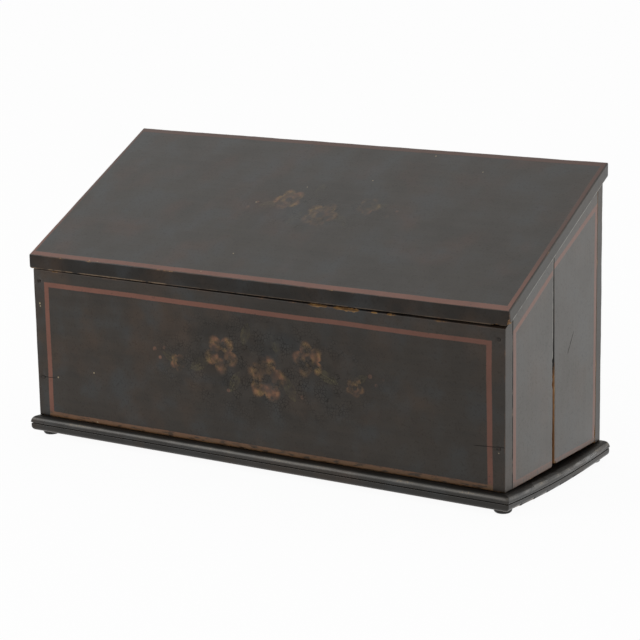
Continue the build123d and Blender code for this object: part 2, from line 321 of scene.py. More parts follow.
@dataclass(frozen=True)
class Place:
    """Where a material is read, in millimetres in the row frame at rest, and the face that it lies under."""

    recipe: Recipe
    at: Wire
    plane: FacePlane | None = None

    @classmethod
    def of(cls, recipe: Recipe, plane: FacePlane | None = None) -> "Place":
        """The place of each point of a piece."""
        metres = recipe.node("ShaderNodeTexCoord")["Object"]
        return cls(recipe, metres, plane).stretched((1 / MM,) * 3)

    def stretched(self, factors: Triple) -> "Place":
        """The place with its three coordinates multiplied."""
        return replace(self, at=self.recipe.vector("MULTIPLY", self.at, factors))

    def moved(self, shift: Feed) -> "Place":
        """The place moved by a shift."""
        return replace(self, at=self.recipe.vector("ADD", self.at, shift))

    def drawn(self, way: Way, times: float) -> "Place":
        """The place as patterns read it when they are drawn out along the grain."""
        return self.stretched(tuple(1 / times if part else 1.0 for part in way.value))

    def along(self, direction: Triple, start: float = 0.0) -> Wire:
        """How far along a direction the place is, from a start."""
        return self.recipe.vector("DOT_PRODUCT", self.at, direction, "Value") - start

    def distance(self, s: float, t: float, point: Spot = (0.0, 0.0)) -> Wire:
        """How far the place lies from a point of the face, along one direction of the face.

        Args:
            s: The direction's share across the face.
            t: The direction's share up the face.
            point: The point of the face, across and up.

        Returns:
            The distance in millimetres, positive along the direction.
        """
        way = self.plane.direction(s, t)
        start = sum(w * o for w, o in zip(way, self.plane.origin)) + s * point[0] + t * point[1]
        return self.along(way, start)

    def reach(self, point: Spot) -> Wire:
        """How far the place lies from a point of the face, whichever way."""
        return self.recipe.vector("DISTANCE", self.at, self.plane.spot(point), "Value")

    def depth(self) -> Wire:
        """How far under the face the place lies."""
        inwards = tuple(-part for part in self.plane.out)
        return self.along(inwards, sum(w * o for w, o in zip(inwards, self.plane.origin)))

    def mottle(self, size: float, detail: float = 2.0) -> Wire:
        """Soft irregular patches between 0 and 1.

        Args:
            size: About how wide a patch is, in millimetres.
            detail: How many finer layers it has.

        Returns:
            The value of the pattern.
        """
        feeds = {"Vector": self.at, "Scale": 1 / size, "Detail": detail}
        return self.recipe.node("ShaderNodeTexNoise", feeds=feeds)["Fac"]

    def patches(self, kind: Patches) -> Wire:
        """How strong patches of a kind are at the place, from 0 to 1."""
        return self.mottle(kind.size, kind.detail).rise(kind.low, kind.high)

    def cells(self, size: float, feature: str) -> Added:
        """Irregular cells of about that size: distances to their middles or their edges."""
        feeds = {"Vector": self.at, "Scale": 1 / size}
        return self.recipe.node("ShaderNodeTexVoronoi", {"feature": feature}, feeds)

    def bands(self, size: float) -> Wire:
        """Parallel bands across X, as growth rings are."""
        settings = {"wave_type": "BANDS", "bands_direction": "X", "wave_profile": "SAW"}
        return self.recipe.node("ShaderNodeTexWave", settings, {"Vector": self.at, "Scale": 1 / size})["Fac"]


# ---------------------------------------------------------------------------
# Decoration: lining, a faded spray of flowers, splits and flecks
# ---------------------------------------------------------------------------


def strongest(values: Sequence[Wire]) -> Wire:
    """The largest of several values at each place."""
    return reduce(Wire.most, values)


@dataclass(frozen=True)
class Lining:
    """A painted line round a board: what lies inside the outer outline and outside the inner one.

    Both outlines are convex and run anticlockwise, in millimetres across and up the face.
    """

    outer: tuple[Spot, ...]
    inner: tuple[Spot, ...]
    edge: float = 0.35

    def _inside(self, place: Place, outline: tuple[Spot, ...]) -> Wire:
        """1 inside an outline, with a soft edge.

        Args:
            place: The place to read at.
            outline: The outline's corners.

        Returns:
            The mask, from 0 to 1.
        """
        distances = []
        for (s0, t0), (s1, t1) in zip(outline, outline[1:] + outline[:1]):
            run = math.hypot(s1 - s0, t1 - t0)
            distances.append(place.distance((t0 - t1) / run, (s1 - s0) / run, (s0, t0)))
        return reduce(Wire.least, distances).rise(-self.edge, self.edge)

    def mask(self, place: Place) -> Wire:
        """1 on the line, 0 off it."""
        return self._inside(place, self.outer) - self._inside(place, self.inner)


@dataclass(frozen=True)
class Blossom:
    """A plain flower of five petals round a small eye."""

    s: float
    t: float
    radius: float
    turn: float = 0.0

    PETALS = 5

    def shade(self, place: Place) -> Wire:
        """How strongly the flower is painted: 0 off it, brightest towards the petals' rims.

        Args:
            place: The place to read at.

        Returns:
            The strength, from 0 to 1.
        """
        across = place.distance(1, 0, (self.s, self.t))
        up = place.distance(0, 1, (self.s, self.t))
        reach = across.span(up) / self.radius
        petal = ((up.turned(across) + self.turn) * (self.PETALS / 2)).cosine().size()
        outwards = reach / (petal.power(0.6) * 0.40 + 0.60)
        inside = outwards.rise(1.0, 0.80)
        strokes = (outwards * 15.0 + petal * 2.5).cosine() * 0.5 + 0.5
        glow = outwards.rise(0.10, 0.95) * 0.25 + strokes * 0.35 + petal * 0.20 + 0.20
        eye = reach.rise(0.24, 0.12)
        return inside * glow * (1 - eye * 0.7)


@dataclass(frozen=True)
class Leaf:
    """A pointed leaf with a pale midrib, from its stalk outwards."""

    s: float
    t: float
    length: float
    width: float
    turn: float

    def shade(self, place: Place) -> Wire:
        """How strongly the leaf is painted.

        Args:
            place: The place to read at.

        Returns:
            The strength, from 0 to 1.
        """
        way = (math.cos(self.turn), math.sin(self.turn))
        run = place.distance(way[0], way[1], (self.s, self.t)) / self.length
        off = place.distance(-way[1], way[0], (self.s, self.t)).size() / self.width
        half = (run * (1 - run) * 4).most(0.0).power(0.8) * 0.5
        inside = (half - off).rise(0.0, 0.1)
        return inside * (off.rise(0.08, 0.02) * 0.5 + off.rise(0.0, 0.5) * 0.3 + 0.45)


@dataclass(frozen=True)
class Berry:
    """A small round berry or bud."""

    s: float
    t: float
    radius: float

    def shade(self, place: Place) -> Wire:
        """How strongly the berry is painted."""
        return place.reach((self.s, self.t)).rise(self.radius, self.radius * 0.6) * 0.8


@dataclass(frozen=True)
class Spray:
    """A faded bunch of plain flowers, leaves and berries, painted by hand."""

    blossoms: tuple[Blossom, ...]
    leaves: tuple[Leaf, ...]
    berries: tuple[Berry, ...]
    middle: Spot
    reach: float
    strength: float
    crackled: float
    petal_low: Colour = tint("523528")
    petal_high: Colour = tint("8d5f42")
    petal_gold: Colour = tint("8f7141")
    leaf_colour: Colour = tint("575032")
    berry_colour: Colour = tint("74503f")

    FLATNESS = 0.42
    WORN = Patches(5.5, 5.0, 0.28, 0.66)
    THIN = Patches(19.0, 3.0, 0.28, 0.60)
    GOLDEN = Patches(9.0, 3.0, 0.35, 0.65)

    def over(self, place: Place, ground: Wire) -> tuple[Wire, Wire]:
        """Paints the spray over a ground colour.

        Args:
            place: The place, already a little shaken.
            ground: The colour under the spray.

        Returns:
            The ground with the spray on it, and how much the spray covers it.
        """
        recipe = place.recipe
        kept = place.patches(self.WORN) * place.patches(self.THIN) * self.strength
        petals, leaves, berries = (
            strongest([motif.shade(place) for motif in motifs])
            for motifs in (self.blossoms, self.leaves, self.berries)
        )
        colour = recipe.blend(ground, self.leaf_colour, leaves * kept * 0.6)
        colour = recipe.blend(colour, self.berry_colour, berries * kept)
        lit = recipe.blend(self.petal_high, self.petal_gold, place.patches(self.GOLDEN))
        petal_colour = recipe.blend(self.petal_low, lit, petals * 0.8 + 0.2)
        return recipe.blend(colour, petal_colour, petals * kept), (petals + berries) * kept

    def nearness(self, place: Place) -> Wire:
        """1 in the middle of the spray, falling to 0 at its reach.

        Args:
            place: The place to read at.

        Returns:
            The nearness, from 0 to 1.
        """
        across = place.distance(1, 0, self.middle) / self.reach
        up = place.distance(0, 1, self.middle) / (self.reach * self.FLATNESS)
        return across.span(up).rise(1.15, 0.35)


@dataclass(frozen=True)
class Split:
    """A thin crack or scratch between two places of a face."""

    start: Spot
    end: Spot
    width: float
    deep: float = 1.0

    def mask(self, place: Place) -> Wire:
        """1 in the crack, 0 beside it.

        Args:
            place: The place to read at.

        Returns:
            The mask, from 0 to 1.
        """
        ds, dt = self.end[0] - self.start[0], self.end[1] - self.start[1]
        run = math.hypot(ds, dt)
        ds, dt = ds / run, dt / run
        along = place.distance(ds, dt, self.start)
        off = place.distance(-dt, ds, self.start).size()
        ends = along.rise(-1.0, 1.0) * along.rise(run + 1.5, run - 3.0)
        return off.rise(self.width, self.width * 0.3) * ends * self.deep


@dataclass(frozen=True)
class Fleck:
    """A small spot where the paint has gone, or a splash on it."""

    s: float
    t: float
    radius: float

    def mask(self, place: Place) -> Wire:
        """1 on the spot, 0 off it."""
        return place.reach((self.s, self.t)).rise(self.radius, self.radius * 0.55)


# ---------------------------------------------------------------------------
# Finishes
# ---------------------------------------------------------------------------


class Finish(ABC):
    """What a piece wears: a recipe that can be made into materials."""

    def material(self, name: str) -> bpy.types.Material:
        """Makes the finish into a new material of that name."""
        recipe = Recipe.for_material(name)
        return recipe.finish(self.mixed(recipe))

    @abstractmethod
    def mixed(self, recipe: Recipe) -> dict[str, Feed]:
        """What each input of the surface shader takes."""


@dataclass(frozen=True)
class BarePine(Finish):
    """Unpainted softwood, browned by age and handling."""

    way: Way
    shift: Triple = (0.0, 0.0, 0.0)
    early: Colour = tint("b18c5c")
    late: Colour = tint("84592f")
    soiled: Colour = tint("5b4229")
    char: Colour = tint("161310")
    ring: float = 3.6
    # Painted shade: the heights between which the wood turns black, as in the narrow top of a crack.
    blackened: tuple[float, float] | None = None

    SLANTS = {Way.WIDE: (0.1, 0.55, 1.0), Way.TALL: (0.55, 1.0, 0.1)}
    SWAY = 26.0
    BROWNED = Patches(55.0, 3.0, 0.40, 0.75)
    SMUDGED = Patches(9.0, 5.0, 0.54, 0.82)

    def mixed(self, recipe: Recipe) -> dict[str, Feed]:
        """What each input of the surface shader takes.

        Args:
            recipe: The material's tree.

        Returns:
            The inputs by name.
        """
        place = Place.of(recipe).moved(self.shift)
        colour, height = self.wood(place)
        rough = place.mottle(30.0) * 0.16 + 0.66
        return {"Base Color": colour, "Roughness": rough, "Normal": recipe.relief(height)}

    def wood(self, place: Place) -> tuple[Wire, Wire]:
        """The colour of the wood, and the height of its grain.

        Args:
            place: The place to read at.

        Returns:
            The colour, and the height in millimetres.
        """
        recipe = place.recipe
        drawn = place.drawn(self.way, 14.0)
        offset = drawn.along(self.SLANTS[self.way]) + drawn.mottle(self.SWAY) * self.SWAY
        lane = recipe.node("ShaderNodeCombineXYZ", feeds={"X": offset})["Vector"]
        rings = Place(recipe, lane).bands(self.ring).rise(0.35, 1.0)
        fibre = place.drawn(self.way, 30.0).mottle(0.7, 3.0)
        colour = recipe.blend(self.early, self.late, rings * 0.7 + fibre * 0.25)
        along_grain = place.drawn(self.way, 2.5)
        soil = along_grain.patches(self.BROWNED) * 0.45 + along_grain.patches(self.SMUDGED) * 0.30
        colour = recipe.blend(colour, self.soiled, soil)
        # Painted shade: blackens the wood above a height, as in the narrow top of the open joint.
        if self.blackened:
            height = place.along((0, 0, 1)) + (place.mottle(6.0, 3.0) - 0.5) * 30.0
            colour = recipe.blend(colour, self.char, height.rise(*self.blackened))
        return colour, fibre * 0.06 - rings * 0.05


@dataclass
class Coat:
    """A coat of paint as it is worked up: colour, roughness, height in millimetres, and how much black fills it, as
    dirt or as painted shade.

    The black has no gloss, so it darkens cracks that would otherwise shine as the paint does; on the base's moulding
    it is painted shade in the groove, on the lower band and on the ledge by the carcase.
    """

    colour: Wire
    rough: Wire
    height: Wire
    sooty: Wire


@dataclass(frozen=True)
class OldPaint(Finish):
    """Nearly black green-brown paint on wood, satin, brushed on, crazed and rubbed through at the arrises."""

    way: Way
    plane: FacePlane | None = None
    lining: Lining | None = None
    lining_colour: Colour = tint("684134")
    lining_worn: Colour = tint("664b33")
    lining_far: Colour | None = None
    spray: Spray | None = None
    splits: tuple[Split, ...] = ()
    # Painted highlights: pale lines along arrises, partly worn paint.
    bright_edges: tuple[Split, ...] = ()
    flecks: tuple[Fleck, ...] = ()
    foot_wear: tuple[float, float] = (0.0, 0.0)
    # Painted light and shade: the gains at the two ends of the face, lighter at one end and darker at the other.
    tone_across: tuple[float, float] = (1.0, 1.0)
    rubbing: float = 1.0
    low: Colour = tint("15110e")
    high: Colour = tint("2c251e")
    stain: Colour = tint("402d1d")
    bloom: Colour = tint("2b3033")
    undercoat: Colour = tint("4a3529")
    wood_low: Colour = tint("63432b")
    wood_high: Colour = tint("9a7b57")
    # The colour of the painted highlights.
    edge_light: Colour = tint("8d8c84")
    speck_light: Colour = tint("a39478")
    # Black for dirt in dust, cracks and crackle, and for painted shade on the base's moulding.
    soot: Colour = tint("070605")
    warmth: Colour = (1.0, 0.965, 0.915)
    gloss: float = 0.36
    ior: float = 1.5
    arris_marked: bool = True

    # The sizes and amounts of the brush's unsteadiness, the shifts that keep two patterns apart from the
    # others, and the stretches across the face over which the painted light and shade and the wear of the line
    # change.
    SHAKES = ((45.0, 1.1), (1.4, 0.55))
    STAIN_SHIFT = (31.0, 57.0, 11.0)
    BLOOM_SHIFT = (83.0, 19.0, 47.0)
    TONE_STRETCH = (-60.0, 480.0)
    WEAR_STRETCH = (-60.0, 260.0)
    CLOUDED = Patches(85.0, 3.0, 0.32, 0.68)
    STAINED = Patches(38.0, 5.0, 0.46, 0.74)
    SMOKED = Patches(14.0, 4.0, 0.40, 0.66)
    CRACKLED = Patches(9.0, 2.0, 0.38, 0.60)
    LINE_COVERED = Patches(2.6, 4.0, 0.18, 0.36)
    LINE_WORN = Patches(2.4, 4.0, 0.50, 0.62)
    ARRIS_LIT = Patches(6.0, 3.0, 0.30, 0.55)

    def mixed(self, recipe: Recipe) -> dict[str, Feed]:
        """What each input of the surface shader takes.

        Args:
            recipe: The material's tree.

        Returns:
            The inputs by name.
        """
        place = Place.of(recipe, self.plane)
        coat = self._ground(place)
        by_hand = self._by_hand(place) if self.lining or self.spray else place
        if self.spray:
            self._add_spray(place, by_hand, coat)
        if self.lining:
            self._add_lining(place, by_hand, coat)
        # Painted light and shade: lighter towards one end of the face, darker towards the other.
        if self.tone_across != (1.0, 1.0):
            start, stop = self.tone_across
            across = place.distance(1, 0).rise(*self.TONE_STRETCH)
            coat.colour = recipe.toned(coat.colour, across * (stop - start) + start)
        self._add_damage(place, coat)
        if self.arris_marked:
            self._rub(place, coat)
        return {
            "Base Color": recipe.blend(coat.colour, self.soot, coat.sooty), "Metallic": coat.sooty * 0.8,
            "Roughness": coat.rough, "Normal": recipe.relief(coat.height), "IOR": self.ior,
            "Specular Tint": self.warmth,
        }

    def _ground(self, place: Place) -> Coat:
        """The plain paint.

        Args:
            place: The place to read at.

        Returns:
            The coat so far.
        """
        recipe = place.recipe
        drawn = place.drawn(self.way, 16.0)
        cloud = place.patches(self.CLOUDED)
        strokes = drawn.mottle(5.0, 3.0)
        fibre = drawn.mottle(0.9, 2.0)
        dust = place.mottle(1.6, 3.0)
        share = cloud * 0.30 + strokes.rise(0.3, 0.7) * 0.30 + dust.rise(0.38, 0.66) * 0.28 + 0.05
        colour = recipe.blend(self.low, self.high, share)
        colour = recipe.blend(colour, self.stain, place.moved(self.STAIN_SHIFT).patches(self.STAINED) * 0.45)
        veil = place.moved(self.BLOOM_SHIFT).mottle(27.0, 4.0)
        colour = recipe.blend(colour, self.bloom, veil.rise(0.46, 0.72) * 0.5)
        rough = strokes * 0.08 + cloud * 0.08 + dust * 0.06 + (self.gloss - 0.10)
        height = strokes * 0.07 + fibre * 0.012 + dust * 0.010
        sooty = dust.rise(0.50, 0.72) * 0.22 + veil.rise(0.54, 0.30) * 0.08
        return Coat(colour, rough, height, sooty)

    def _by_hand(self, place: Place) -> Place:
        """The place as an unsteady brush finds it.

        Args:
            place: The place to read at.

        Returns:
            The same place, a little shaken.
        """
        recipe = place.recipe
        for size, amount in self.SHAKES:
            sway = recipe.node("ShaderNodeTexNoise", feeds={"Vector": place.at, "Scale": 1 / size, "Detail": 1.0})
            offset = Place(recipe, sway["Color"]).moved((-0.5,) * 3).stretched((amount,) * 3)
            place = place.moved(offset.at)
        return place

    def _add_spray(self, place: Place, by_hand: Place, coat: Coat) -> None:
        """Adds the spray of flowers, with the darkened and crackled varnish round it.

        Args:
            place: The place to read at.
            by_hand: The place, a little shaken.
            coat: The coat, which is changed.
        """
        near = self.spray.nearness(place)
        smoky = place.patches(self.SMOKED) * near
        weave = place.cells(2.6, "DISTANCE_TO_EDGE")["Distance"].rise(0.12, 0.0)
        crackle = weave * near * place.patches(self.CRACKLED)
        coat.colour, covered = self.spray.over(by_hand, coat.colour)
        dark = (smoky * 0.4).most(crackle) * (1 - covered * 0.8) * self.spray.crackled
        coat.sooty = coat.sooty.most(dark)
        coat.height = coat.height - crackle * 0.05

    def _add_lining(self, place: Place, by_hand: Place, coat: Coat) -> None:
        """Adds the painted line, worn brown where it runs along the bottom of the board.

        Args:
            place: The place to read at.
            by_hand: The place, a little shaken.
            coat: The coat, which is changed.
        """
        recipe = place.recipe
        on_face = place.depth().rise(0.55, 0.25)
        line = self.lining.mask(by_hand) * on_face
        tone = place.mottle(16.0, 4.0)
        up = place.distance(0, 1)
        red = recipe.toned(self.lining_colour, tone * 0.5 + 0.75)
        if self.lining_far:
            red = recipe.blend(red, self.lining_far, up.rise(0.0, 90.0))
        worn_from, worn_to = self.foot_wear
        if worn_to > 0:
            low = up.rise(6.5, 2.5)
            share = place.distance(1, 0).rise(*self.WEAR_STRETCH) * (worn_to - worn_from) + worn_from
            red = recipe.blend(red, self.lining_worn, low * share)
            line = line * (1 - low * share * place.drawn(self.way, 4.0).patches(self.LINE_WORN) * 0.8)
        coat.colour = recipe.blend(coat.colour, red, line * place.patches(self.LINE_COVERED))
        coat.sooty = coat.sooty * (1 - line * 0.8)
        coat.rough = coat.rough + line * 0.05
        coat.height = coat.height + line * 0.03

    def _add_damage(self, place: Place, coat: Coat) -> None:
        """Adds the splits and flecks, the few pale specks that such paint picks up, and the painted highlights along
        arrises.

        Args:
            place: The place to read at.
            coat: The coat, which is changed.
        """
        recipe = place.recipe
        found = place.cells(17.0, "F1")
        rare = recipe.node("ShaderNodeSeparateColor", feeds={"Color": found["Color"]})["Red"].rise(0.94, 0.97)
        speck = found["Distance"].rise(0.045, 0.02) * rare
        speck = strongest([speck, *(fleck.mask(place) for fleck in self.flecks)])
        coat.colour = recipe.blend(coat.colour, self.speck_light, speck * 0.8)
        coat.rough = coat.rough + speck * 0.2
        if self.splits:
            crack = strongest([split.mask(place) for split in self.splits])
            coat.sooty = coat.sooty.most(crack)
            coat.height = coat.height - crack * 0.35
        # Painted highlights: pale lines along arrises, broken into patches, partly worn paint.
        if self.bright_edges:
            light = strongest([edge.mask(place) for edge in self.bright_edges])
            coat.colour = recipe.blend(coat.colour, self.edge_light, light * place.patches(self.ARRIS_LIT))

    def _rub(self, place: Place, coat: Coat) -> None:
        """Takes the paint off the arrises, and off what has splintered away.

        Args:
            place: The place to read at.
            coat: The coat, which is changed.
        """
        recipe = place.recipe
        arris = recipe.marked("arris")
        splintered = recipe.marked("splintered")
        patch = place.mottle(15.0, 5.0)
        nibble = place.mottle(1.3, 3.0)
        reach = (patch - 0.56) * (8.0 * self.rubbing) + (nibble - 0.5) * 1.2
        torn = splintered.rise(0.02, 0.10)
        ragged = splintered + (nibble - 0.5) * 0.4
        thinned = (reach + 0.60 - arris).rise(-0.1, 0.5).most(ragged.rise(0.02, 0.15) * torn)
        through = (reach - 0.15 - arris).rise(-0.1, 0.35).most(ragged.rise(0.15, 0.30) * torn)
        coat.colour = recipe.blend(coat.colour, self.undercoat, thinned * 0.5)
        grain = place.drawn(self.way, 9.0).mottle(1.2, 4.0)
        wood = recipe.blend(self.wood_low, self.wood_high, grain.rise(0.38, 0.66))
        coat.colour = recipe.blend(coat.colour, wood, through * 0.9)
        coat.sooty = coat.sooty * (1 - thinned)
        coat.rough = coat.rough + through * 0.3 + thinned * 0.06
        coat.height = coat.height - through * (0.10 - grain * 0.12)


@dataclass(frozen=True)
class MouldingPaint(OldPaint):
    """The base's paint: the same, but rubbed and given a painted highlight along the round nose of its moulded edge,
    with painted shade in the groove, on the lower band and on the ledge, where there is some grime too.
    """

    top_z: float = 15.4
    sag: float = 2.5
    middle_y: float = 1.5
    half_chord: float = 75.75
    nose_height: float = 5.4
    groove_height: float = 0.7
    polished: Colour = tint("625f5a")
    underside: BarePine = BarePine(Way.WIDE, early=tint("8a6a45"), late=tint("5f4126"))

    def _rub(self, place: Place, coat: Coat) -> None:
        """Rubs the nose and paints a highlight on it, paints shade into the groove, the lower band and the ledge, and
        leaves the underside bare.

        Args:
            place: The place to read at.
            coat: The coat, which is changed.
        """
        recipe = place.recipe
        lift = self.sag / self.half_chord**2
        off = place.along((0, 1, 0), self.middle_y)
        below = (off * off) * lift + (self.top_z - self.sag) - place.along((0, 0, 1))
        patch = place.drawn(self.way, 3.0).mottle(9.0, 5.0)
        nibble = place.mottle(1.5, 3.0)
        nose = (below - self.nose_height * 0.36).size().rise(2.1, 0.6)
        # Rubbed paint and a painted highlight: a pale grey band along the upper half of the nose.
        rubbed_and_highlit = nose * (patch.rise(0.35, 0.65) * 0.55 + 0.10)
        coat.colour = recipe.blend(coat.colour, self.polished, rubbed_and_highlit)
        bright = (nose * (nibble * 0.6 + patch * 0.6)).rise(0.66, 0.76)
        coat.colour = recipe.blend(coat.colour, self.wood_high, bright * 0.5)
        # Painted shade: black in the groove, on the ledge by the carcase (with some grime) and, more lightly, on the
        # lower band.
        groove = (below - self.nose_height - self.groove_height / 2).size().rise(0.9, 0.2)
        ledge = below.rise(1.9, 0.9)
        band = below.rise(self.nose_height, self.nose_height + 1.5)
        facing = Place(recipe, recipe.node("ShaderNodeTexCoord")["Normal"])
        at_ends = facing.along((1, 0, 0)).size().rise(0.5, 0.9)
        coat.sooty = coat.sooty.most(groove * (0.6 - at_ends * 0.35)).most(ledge * 0.75).most(band * 0.2)
        down = facing.along((0, 0, -1)).rise(0.75, 0.92)
        under, grain = self.underside.wood(place)
        coat.colour = recipe.blend(coat.colour, under, down)
        coat.sooty = coat.sooty * (1 - down)
        coat.rough = coat.rough + rubbed_and_highlit * 0.12 + ledge * 0.3 + down * 0.3
        coat.height = coat.height + grain * down


@dataclass(frozen=True)
class OldMetal(Finish):
    """Old brass or iron: bare metal under dull patches."""

    bright: Colour
    dull: Colour
    patch: Colour
    metal_share: float
    roughness: float

    DULLED = Patches(5.0, 4.0, 0.35, 0.65)

    def mixed(self, recipe: Recipe) -> dict[str, Feed]:
        """What each input of the surface shader takes.

        Args:
            recipe: The material's tree.

        Returns:
            The inputs by name.
        """
        place = Place.of(recipe)
        cloud = place.patches(self.DULLED)
        pits = place.mottle(0.8, 4.0)
        crust = (place.mottle(2.2, 5.0) + pits * 0.3).rise(0.62, 0.80)
        colour = recipe.blend(recipe.blend(self.bright, self.dull, cloud), self.patch, crust)
        metallic = (1 - crust * 0.8) * self.metal_share
        rough = cloud * 0.15 + crust * 0.25 + self.roughness
        height = pits * 0.05 + crust * 0.04
        return {"Base Color": colour, "Metallic": metallic, "Roughness": rough, "Normal": recipe.relief(height)}


END_GRAIN_PAINT = OldPaint(way=Way.TALL, low=tint("1e1b17"), high=tint("34302a"), ior=1.6)
AGED_BRASS = OldMetal(tint("a1834c"), tint("6e5a36"), tint("4a4630"), 1.0, 0.34)
RUSTY_IRON = OldMetal(tint("37332f"), tint("211d1a"), tint("2d221b"), 0.6, 0.55)


# ---------------------------------------------------------------------------
# Boards: closed meshes with rounded, worn and splintered arrises
# ---------------------------------------------------------------------------


class Cover(Enum):
    """Which finish a surface of a board wears."""

    PAINT = 0
    END = 1
    WOOD = 2
    EDGE = 3


Window = tuple[float, float, float]
Placing = Callable[[np.ndarray], np.ndarray]
CUTS_BY_ARRIS = np.array([0.0, 0.22, 0.5, 0.85, 1.3, 2.0, 3.2, 5.2])
LEAST_CUT = 0.14


def covers(ends: Cover, bottom: Cover, top: Cover) -> dict[str, Cover]:
    """Which finish each side of a board wears: paint on its outer face and bare wood on its inner one."""
    return {"left": ends, "right": ends, "bottom": bottom, "top": top, "inner": Cover.WOOD, "outer": Cover.PAINT}


@dataclass(frozen=True)
class Break:
    """Wood split off an arris or a corner, down to a rough plane.

    The plane faces `facing` (across, up and out of the face) and lies `depth` inside the arris point
    `at`. Where `start` and `stop` are given, the break runs only between them along the board's edge.
    """

    at: Triple
    facing: Triple
    depth: float
    run_axis: int | None = None
    start: float = 0.0
    stop: float = 0.0
    jagged: float = 0.5
    grain: float = 2.2


@dataclass(frozen=True)
class Pit:
    """A shallow hollow in a face, as round a nail's head."""

    u: float
    v: float
    radius: float
    depth: float


SEED_SHIFT = (17.3, 5.1, 9.7)


def rough_at(points: np.ndarray, size: float, seed: float) -> np.ndarray:
    """Smooth noise from -1 to 1 at each point.

    Args:
        points: Places, one row each, in millimetres.
        size: About how far apart the highs are.
        seed: Moves the pattern, so that boards differ.

    Returns:
        One number for each point.
    """
    shift = Vector([seed * part for part in SEED_SHIFT])
    return np.array([noise.noise(Vector(point) / size + shift) for point in points])


def graded_lines(total: float, step: float, windows: Sequence[Window] = ()) -> np.ndarray:
    """Places of the cuts across one direction of a board: close by the arrises, further apart between.

    Args:
        total: The board's size in that direction.
        step: The widest spacing.
        windows: Stretches with a finer spacing, as (start, stop, spacing).

    Returns:
        The places in rising order, from 0 to the total.
    """
    near = CUTS_BY_ARRIS[CUTS_BY_ARRIS < total / 2 - 0.2]
    inner_from = near[-1]
    count = max(1, round((total - 2 * inner_from) / step))
    middle = np.linspace(inner_from, total - inner_from, count + 1)
    fine = [np.arange(max(0.0, start), min(total, stop), spacing) for start, stop, spacing in windows]
    wanted = np.sort(np.concatenate([near, total - near, middle, *fine]))
    kept = [0.0]
    for place in wanted:
        if min(place - kept[-1], total - place) > LEAST_CUT:
            kept.append(float(place))
    return np.array([*kept, total])


